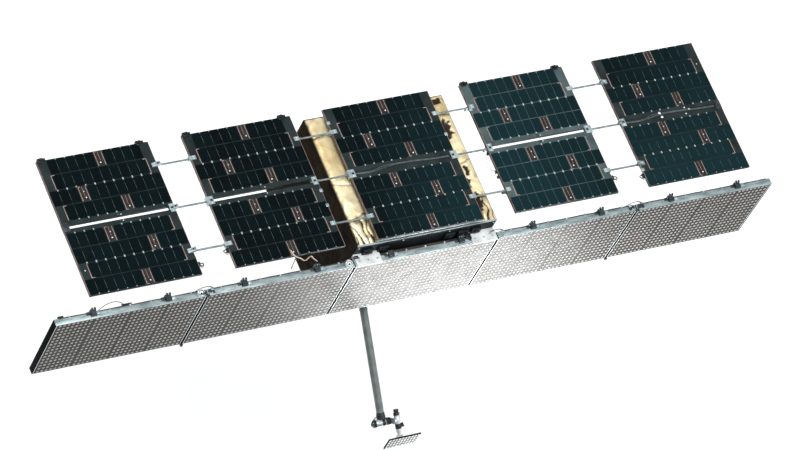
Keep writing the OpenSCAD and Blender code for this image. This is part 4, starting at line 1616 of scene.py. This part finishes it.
    def rims(self) -> None:
        """Thin film over the edges of both halves."""
        shape = Shape()
        t = self.rim
        halves = ((self.middle + 0.008, self.high.y), (self.low.y, self.middle - 0.008))
        for y0, y1 in halves:
            for x, way in ((self.low.x, 1), (self.high.x, -1)):
                side = x - way * t
                shape.box((x, y0, self.low.z + 0.001), (side, y1, self.top), FINE_BEVEL)
                shape.box((side, y0, self.top), (x + way * 0.0016, y1, self.top + 0.0011), FINE_BEVEL)
            for y, way in ((y0, 1), (y1, -1)):
                shape.box((self.low.x, y, self.low.z + 0.001), (self.high.x, y - way * t, self.top + 0.0002),
                          FINE_BEVEL, number=1)
        shape.piece(f"array_rims_{self.number}", self.body, [EDGE_FILM, SUBSTRATE])

    def gap_parts(self) -> None:
        """Small parts along the middle gap: cable clips on the open ones, fanned wires on the others."""
        shape = Shape()
        x, y, z = (self.low.x + self.high.x) / 2, self.middle, self.top
        if self.open_gap:
            for dy in (0.014, -0.014):
                shape.box((x - 0.006, y + dy - 0.004, z), (x + 0.006, y + dy + 0.004, z + 0.004), SMALL_BEVEL)
                shape.dome((x + 0.013, y + dy, z), 0.003, 0.0025, number=1)
            for dx in (0.035, 0.055):
                shape.dome((x + dx, y - 0.012, z), 0.0028, 0.0022)
        else:
            floor = z - 0.003
            left = self.low.x + 0.02
            for k in range(4):
                lift = 0.002 * k
                points = [(left, y - 0.006 + 0.0015 * k, floor + 0.0035),
                          (left + 0.07, y - 0.011 + lift, z + 0.0016),
                          (left + 0.13, y - 0.004 + 2 * lift, z + 0.0012),
                          (left + 0.19, y + 0.004 + lift, z + 0.001),
                          (left + 0.28, y + 0.002 + lift, floor + 0.003),
                          (left + 0.36, y - 0.003 + lift, floor + 0.002),
                          (self.high.x - 0.03, y - 0.004 + lift, floor + 0.0015)]
                shape.tube(smooth_path(points, 5), 0.0009, sides=5, number=2 if k % 2 else 0)
        if self.number == 5:
            for dx, dy, r in ((-0.049, 0.012, 0.0065), (-0.045, -0.008, 0.006), (0.072, 0.016, 0.004),
                              (0.068, -0.013, 0.004), (0.090, 0.006, 0.004)):
                shape.dome((x + dx, y + dy, z), r, 0.004, number=1)
            shape.box((x - 0.053, y - 0.001, z - 0.002), (x - 0.040, y + 0.005, z + 0.003), SMALL_BEVEL)
        ends = {1: (self.low.x, 1), 5: (self.high.x, -1)}
        if self.number in ends:
            edge, way = ends[self.number]
            shape.box((edge, y - 0.020, z + 0.0005), (edge + way * 0.026, y + 0.020, z + 0.0042), BEVEL)
        shape.piece(f"gap_parts_{self.number}", self.body, [FITTING, SOLDER, TAB])

    def hold_down(self, shape: Shape, x: float) -> None:
        """A black hold-down cup with its strap, on the far edge.

        Args:
            shape: the shape to add it to.
            x: its place along X.
        """
        y, z = self.high.y, self.top
        shape.box((x - 0.011, y - 0.010, z), (x + 0.011, y + 0.010, z + 0.005), BEVEL)
        shape.box((x - 0.011, y + 0.001, z - 0.011), (x + 0.011, y + 0.011, z + 0.003), BEVEL)
        shape.cylinder((x, y + 0.001, z + 0.004), (x, y + 0.001, z + 0.014), 0.0072, top=0.006, bevel=BEVEL)
        shape.box((x + 0.009, y - 0.004, z + 0.001), (x + 0.019, y + 0.006, z + 0.009), 0.0012)

    def edge_hook(self, shape: Shape, x: float, y: float, way: int) -> None:
        """A small dark tie-down hook that stands out from a side edge.

        Args:
            shape: the shape to add it to.
            x: the edge's place along X.
            y: the hook's place along Y.
            way: 1 where it stands out to the right, -1 to the left.
        """
        z = (self.low.z + self.high.z) / 2
        shape.box((x, y - 0.010, z - 0.004), (x + way * 0.010, y + 0.010, z + 0.004), BEVEL)
        shape.ring((x + way * 0.014, y - 0.004, z + 0.002), (0, 0.3, 1), 0.0085, 0.0022)
        shape.ring((x + way * 0.012, y - 0.012, z + 0.001), (0.4, 0, 1), 0.006, 0.0016, number=1)

    def edge_parts(self) -> None:
        """Hold-downs on the far edge and hooks on the side edges, where the column has them."""
        shape = Shape()
        if self.open_gap:
            shift = 0.022 if self.number == 4 else 0.028
            self.hold_down(shape, self.low.x + 0.018)
            self.hold_down(shape, self.high.x - shift - 0.012)
        hooks = {1: ((self.high.x, -0.598, 1),), 2: ((self.low.x, -0.562, -1),),
                 4: ((self.high.x, -0.572, 1),), 5: ((self.low.x, -0.590, -1),)}
        for x, y, way in hooks.get(self.number, ()):
            self.edge_hook(shape, x, y, way)
        tabs = {2: ((1, -0.3845), (1, -0.4535)), 3: ((-1, -0.095), (1, -0.240)), 4: ((-1, -0.150),),
                5: ((-1, -0.140), (-1, -0.565))}
        for side, y in tabs.get(self.number, ()):
            x = self.high.x if side > 0 else self.low.x
            shape.box((x - side * 0.009, y - 0.007, self.top - 0.002),
                      (x + side * 0.004, y + 0.007, self.top + 0.0026), 0.0006, number=1)
            shape.screw((x - side * 0.004, y, self.top + 0.0026), (0, 0, 1), 0.002, number=1)
        if self.number == 4:
            x, z = self.low.x, self.low.z + 0.002
            points = [(x + 0.002, -0.352, z), (x - 0.020, -0.362, z + 0.004), (x - 0.034, -0.385, z + 0.006),
                      (x - 0.036, -0.412, z + 0.004), (x - 0.022, -0.436, z + 0.006), (x - 0.002, -0.452, z)]
            shape.tube(smooth_path(points, 6), 0.0014, number=2)
            points = [(x + 0.002, -0.360, z), (x - 0.014, -0.372, z - 0.004), (x - 0.022, -0.398, z - 0.003),
                      (x - 0.014, -0.428, z - 0.004), (x + 0.001, -0.440, z)]
            shape.tube(smooth_path(points, 6), 0.0014, number=2)
            for y in (-0.358, -0.446, -0.470):
                shape.box((x - 0.008, y - 0.006, z - 0.004), (x, y + 0.006, z + 0.006), BEVEL)
        if len(shape.bm.faces):
            shape.piece(f"edge_parts_{self.number}", self.body, [MOTOR, SILVER, WIRE_WHITE])
        else:
            shape.bm.free()

    def underside(self) -> None:
        """Cables, connectors and stiffeners under the column."""
        shape = Shape()
        z = self.low.z
        rng = random.Random(60 + self.number)
        middle = (self.low.x + self.high.x) / 2
        for y0, y1 in ((self.low.y + 0.03, self.middle - 0.03), (self.middle + 0.03, self.high.y - 0.03)):
            for x in (middle - 0.13, middle + 0.13):
                shape.box((x - 0.007, y0, z - 0.0035), (x + 0.007, y1, z), SMALL_BEVEL)
            for k in range(3):
                points = [(middle - 0.02 + 0.005 * k + rng.uniform(-0.002, 0.002), y0 + (y1 - y0) * s / 5,
                           z - 0.0019) for s in range(6)]
                shape.tube(smooth_path(points, 4), 0.0014, number=1 + k % 2)
            shape.box((middle - 0.026, (y0 + y1) / 2 - 0.008, z - 0.004),
                      (middle + 0.002, (y0 + y1) / 2 + 0.008, z), SMALL_BEVEL)
        shape.piece(f"array_underside_{self.number}", self.body, [FITTING, WIRE_DARK, WIRE_WHITE])

    def bracket_details(self) -> None:
        """Screws and dark slots on the silver clips."""
        shape = Shape()
        top = self.top + 0.0025
        rods = (self.middle - self.rod, self.middle, self.middle + self.rod)
        sides = {1: (1,), 5: (-1,)}.get(self.number, (-1, 1))
        for side in sides:
            x = self.high.x if side > 0 else self.low.x
            for y in rods:
                wide = 0.012 if y == self.middle else 0.0045
                for dy in (-wide, wide):
                    shape.screw((x - side * 0.012, y + dy, top), (0, 0, 1), 0.0020)
                if y == self.middle:
                    clip = x - side * 0.012
                    shape.box((clip - 0.005, y - 0.004, top), (clip + 0.005, y + 0.004, top + 0.0012), 0.0003,
                              number=1)
        shape.piece(f"clip_screws_{self.number}", self.body, [SOLDER, MOTOR])

    def build(self) -> None:
        """Builds the whole column."""
        # The fourth column gets the lighter copy of the face sheet: painted sheen.
        dress(SHEEN_SUBSTRATE if self.number == 4 else SUBSTRATE, f"solar_panel_{self.number}")
        dress(SILVER, f"solar_brackets_{self.number}")
        self.cells()
        self.interconnects()
        self.wiring()
        self.rims()
        self.gap_parts()
        self.edge_parts()
        self.underside()
        self.bracket_details()


@dataclass
class SolarArray:
    """The five columns, their rods and what hangs from them.

    Attributes:
        columns: the columns, from the left.
    """

    columns: list[SolarColumn] = field(default_factory=lambda: [
        # The four numbers of each column are its painted sheen at the far left, far right, near left and near
        # right corners.
        SolarColumn(1, "solar_left_outer", (0.03, 0.06, 0.12, 0.14), True),
        SolarColumn(2, "solar_left_inner", (0.05, 0.01, 0.03, 0.0), True),
        SolarColumn(3, "bus", (0.0, 0.25, 0.02, 0.9), False),
        SolarColumn(4, "solar_right_inner", (0.95, 0.55, 1.0, 0.5), True),
        SolarColumn(5, "solar_right_outer", (0.0, 0.45, 1.0, 0.85), False)])

    def lanyard(self) -> None:
        """The wires and the thin line that hang from the second column's near edge."""
        low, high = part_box("solar_panel_2")
        z, y = high.z, low.y - 0.004
        shape = Shape()
        for k in range(2):
            d = 0.004 * k
            points = [(-0.622 + d, y + 0.030, z + 0.0015), (-0.614 + d, y + 0.002, z + 0.001),
                      (-0.585 + d, y - 0.003, z - 0.018), (-0.556 + d, y - 0.004, z - 0.044),
                      (-0.541 + d, y - 0.004, z - 0.016), (-0.520 + d, y - 0.004, z - 0.040),
                      (-0.492 + d, y - 0.003, z - 0.074)]
            shape.tube(smooth_path(points, 6), 0.0015, number=k)
        shape.tube([(-0.603, y, z - 0.006), (-0.601, y - 0.002, z - 0.05), (-0.599, y - 0.004, z - 0.094)],
                   0.0017, number=2)
        made = shape.piece("array_lanyard", "solar_left_inner", [WIRE_BROWN, WIRE_WHITE, WIRE_DARK])
        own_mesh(made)

    def build(self) -> None:
        """Builds the whole sub-assembly."""
        dress(ROD, "solar_rods_left_outer", "solar_rods_left_inner", "solar_rods_right_inner",
              "solar_rods_right_outer")
        dress(SILVER, "solar_standoffs")
        for column in self.columns:
            column.build()
        self.lanyard()


# ---------------------------------------------------------------- boom and data antenna


@dataclass
class Boom:
    """The boom with its gimbal and data antenna.

    Attributes:
        root: the root pin's middle.
        reach: the distance from the root pin to the gimbal's axis.
        angle: how far the boom slopes below the horizontal, in degrees.
        rise: the distance from the gimbal's axis to the azimuth motor's.
        grid_line: width of the dark lines on the data antenna's face.
        grid: patches across and up the data antenna's face.
        screw_radius: the radius of the screw circles at the gimbal's axis.
        arm: the middle of the gimbal arm along X.
    """

    root: Point = (-0.100, -0.616, -0.2805)
    reach: float = 0.500
    angle: float = 30.5
    rise: float = 0.040
    grid_line: float = 0.0030
    grid: tuple[int, int] = (10, 4)
    screw_radius: float = 0.010
    arm: float = 0.0515

    def __post_init__(self) -> None:
        """Works out the boom's own directions."""
        slope = math.radians(self.angle)
        self.out = Vector((0, -math.cos(slope), -math.sin(slope)))
        self.up = Vector((0, -math.sin(slope), math.cos(slope)))
        self.pin = Vector(self.root) + self.out * self.reach

    def at(self, x: float, out: float, up: float) -> Vector:
        """A point given from the gimbal's axis: along X, out along the boom, and up square to it."""
        return self.pin + Vector((x, 0, 0)) + self.out * out + self.up * up

    def screw_circle(self, shape: Shape, x: float, count: int, start: float) -> None:
        """Adds a circle of small screws round the gimbal's axis, on a face that looks left or right.

        Args:
            shape: the shape to add them to.
            x: the face's distance along X, negative on the left.
            count: how many there are.
            start: the angle of the first one, in degrees.
        """
        for k in range(count):
            a = math.radians(360 * k / count + start)
            foot = self.at(x, self.screw_radius * math.cos(a), self.screw_radius * math.sin(a))
            shape.screw(foot, (math.copysign(1, x), 0, 0), 0.0014, number=1)

    def tube_details(self) -> None:
        """A collar at each end of the tube, and the cable along it."""
        shape = Shape()
        start = Vector(self.root)
        shape.cylinder(start + self.out * 0.030, start + self.out * 0.038, 0.0172, sides=32,
                       bevel=SMALL_BEVEL, number=1)
        shape.cylinder(start + self.out * 0.458, start + self.out * 0.466, 0.0178, sides=32,
                       bevel=SMALL_BEVEL)
        line = []
        for k in range(22):
            reach = 0.03 + 0.02 * k
            wave = 0.0006 * math.sin(reach * 60)
            line.append(start + self.out * reach - self.up * (0.0176 + wave) + Vector((0.003, 0, 0)))
        shape.tube(line, 0.0016, number=2)
        shape.piece("boom_details", "boom", [MOTOR, BOOM, WIRE_DARK])

    def motor_details(self) -> None:
        """The end cap, the two light bands, the screws and the cable loop of the elevation motor."""
        shape = Shape()
        shape.cylinder(self.at(-0.041, 0, 0), self.at(-0.035, 0, 0), 0.0145, sides=32, bevel=BEVEL)
        shape.cylinder(self.at(-0.031, 0, 0), self.at(-0.004, 0, 0), 0.0178, sides=32, bevel=SMALL_BEVEL,
                       number=1)
        shape.cylinder(self.at(0.010, 0, 0), self.at(0.013, 0, 0), 0.0176, sides=32, bevel=0.0004, number=1)
        self.screw_circle(shape, -0.041, 6, 0)
        points = [self.at(-0.041, 0.004, 0), self.at(-0.050, 0.004, 0.004), self.at(-0.054, -0.006, 0.014),
                  self.at(-0.046, -0.020, 0.022), self.at(-0.030, -0.030, 0.022),
                  self.at(-0.016, -0.038, 0.019)]
        shape.tube(smooth_path(points, 5), 0.0020)
        shape.piece("elevation_motor_details", "boom", [MOTOR, ARM])

    def arm_details(self) -> None:
        """Knob, sleeves, connector box, clamps, screws and cable on the arm."""
        x = self.arm
        shape = Shape()
        shape.cylinder(self.at(x, -0.047, self.rise), self.at(x, -0.033, self.rise), 0.0105, sides=24,
                       bevel=0.0015)
        shape.cylinder(self.at(x, -0.014, self.rise), self.at(x, 0.008, self.rise), 0.0132, sides=32,
                       bevel=BEVEL, number=1)
        for start, end in ((-0.033, -0.021), (0.013, 0.034)):
            shape.cylinder(self.at(x, start, self.rise), self.at(x, end, self.rise), 0.0133, sides=32,
                           bevel=BEVEL)
        shape.cylinder(self.at(0.0405, 0, 0), self.at(0.047, 0, 0), 0.0125, sides=32, bevel=BEVEL, number=1)
        shape.box(self.at(x, 0, self.rise) + Vector((0.004, -0.030, -0.022)),
                  self.at(x, 0, self.rise) + Vector((0.019, -0.012, 0.002)), 0.0015)
        self.screw_circle(shape, 0.0415, 4, 45)
        points = [self.at(0.047, -0.006, 0.004), self.at(0.060, 0.004, 0.008), self.at(0.064, 0.020, 0.018),
                  self.at(0.058, 0.030, 0.030), self.at(0.054, 0.036, 0.038)]
        shape.tube(smooth_path(points, 5), 0.0016)
        shape.piece("gimbal_arm_details", "gimbal", [MOTOR, ARM])

    def antenna_face(self) -> None:
        """The dark grid between the pale patches, the frame and the rear fittings of the data antenna."""
        low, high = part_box("patch_antenna")
        shape = Shape()
        columns, rows = self.grid
        half = self.grid_line / 2
        for column in range(1, columns):
            x = low.x + column * (high.x - low.x) / columns
            shape.box((x - half, low.y - 0.0006, low.z), (x + half, low.y, high.z), FINE_BEVEL)
        for row in range(1, rows):
            z = low.z + row * (high.z - low.z) / rows
            shape.box((low.x, low.y - 0.0007, z - half), (high.x, low.y, z + half), FINE_BEVEL)
        shape.piece("data_antenna_grid", "data_antenna", [SEAM_BLACK])
        shape = Shape()
        t = 0.0008
        shape.box((low.x - t, low.y - t, low.z), (low.x + 0.0012, high.y, high.z), 0.0003)
        shape.box((low.x, low.y - t, high.z - 0.0012), (high.x, high.y, high.z + t), 0.0003)
        shape.box((high.x - 0.0012, low.y - t, low.z), (high.x + t, high.y, high.z), 0.0003, number=1)
        shape.box((low.x, low.y - t, low.z - t), (high.x, high.y, low.z + 0.0012), 0.0003, number=1)
        mount_low, mount_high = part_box("patch_mount")
        for x in (mount_low.x + 0.004, mount_high.x - 0.004):
            for z in (high.z - 0.026, high.z - 0.005):
                shape.screw((x, high.y + 0.012, z), (0, 1, 0), 0.0016, number=1)
        for x in (low.x + 0.018, high.x - 0.018):
            shape.box((x - 0.006, high.y, low.z + 0.008), (x + 0.006, high.y + 0.004, high.z - 0.008),
                      SMALL_BEVEL)
        shape.piece("data_antenna_frame", "data_antenna", [SEAM_BLACK, SILVER])

    def build(self) -> None:
        """Builds the whole sub-assembly."""
        dress(BRACKET, "boom_bracket")
        dress(BOOM, "boom_tube")
        dress(MOTOR, "gimbal_motor")
        dress(ARM, "gimbal_arm", "patch_mount")
        dress(PATCH_FACE, "patch_antenna")
        self.tube_details()
        self.motor_details()
        self.arm_details()
        self.antenna_face()


# ---------------------------------------------------------------- studio


@dataclass
class Studio:
    """Floor, lights and camera.

    Attributes:
        floor: height of the floor.
        floor_size: half of its side.
        lens: the camera's focal length in millimetres.
        eye: the camera's place.
        right: the direction to the right of its view.
        down: the direction down its view.
        ahead: the direction that it looks in.
        sky: the colour of the surroundings.
        sky_strength: how bright they are.
        lights: each light's name, place, target, side in metres and power in watts.
    """

    floor: float = -2.30
    floor_size: float = 20.0
    lens: float = 216.8
    eye: Point = (-8.679, -8.166, 15.5155)
    right: Point = (0.8766, -0.3681, 0.3099)
    down: Point = (-0.1711, -0.8404, -0.5142)
    ahead: Point = (0.4497, 0.3977, -0.7998)
    sky: Colour = (0.93, 0.95, 0.97)
    sky_strength: float = 0.55
    lights: tuple[tuple[str, Point, Point, float, float], ...] = (
        ("key", (-2.0, -2.0, 10.0), (0, -0.4, 0), 8.0, 1650),
        ("fill", (6.0, -5.0, 6.5), (0, -0.4, 0), 5.0, 450),
        ("face_card", (0.74, -1.30, -1.12), (0.12, -0.69, 0.0), 1.0, 66))

    def camera(self) -> None:
        """The camera, high to the left and near, turned so that the antenna runs up to the right."""
        data = bpy.data.cameras.new("camera")
        data.lens, data.sensor_width, data.clip_end = self.lens, 36.0, 200.0
        made = placed("camera", data)
        turn = Matrix((self.right, [-v for v in self.down], [-v for v in self.ahead])).transposed().to_4x4()
        made.matrix_world = Matrix.Translation(self.eye) @ turn
        bpy.context.scene.camera = made

    def light(self, name: str, place: Point, target: Point, size: float, power: float) -> None:
        """Adds a soft square light.

        Args:
            name: its name.
            place: where it stands.
            target: the point that it faces.
            size: its side.
            power: its power in watts.
        """
        data = bpy.data.lights.new(name, "AREA")
        data.shape, data.size, data.energy = "SQUARE", size, power
        made = placed(name, data)
        made.location = place
        made.rotation_mode = "QUATERNION"
        made.rotation_quaternion = (Vector(target) - Vector(place)).to_track_quat("-Z", "Y")
        made.visible_camera = False

    def build(self) -> None:
        """Builds the whole studio."""
        part = bmesh.new()
        bmesh.ops.create_grid(part, x_segments=4, y_segments=4, size=self.floor_size)
        bmesh.ops.translate(part, vec=(0, 0, self.floor), verts=part.verts)
        mesh = mesh_of("floor", part)
        mesh.materials.append(FLOOR.material())
        placed("floor", mesh)
        for light in self.lights:
            self.light(*light)
        world = bpy.data.worlds.new("studio")
        world.use_nodes = True
        background = world.node_tree.nodes["Background"]
        background.inputs["Color"].default_value = (*self.sky, 1.0)
        background.inputs["Strength"].default_value = self.sky_strength
        bpy.context.scene.world = world
        bpy.context.scene.view_settings.view_transform = "Standard"
        self.camera()


def main() -> None:
    """Builds every sub-assembly in order and logs what it builds."""
    logging.basicConfig(level=logging.INFO, format="%(name)s: %(message)s", stream=sys.stdout)
    for assembly in (Bus(), Antenna(), SolarArray(), Boom(), Studio()):
        log.info("building %s", type(assembly).__name__)
        assembly.build()


if __name__ == "__main__":
    main()
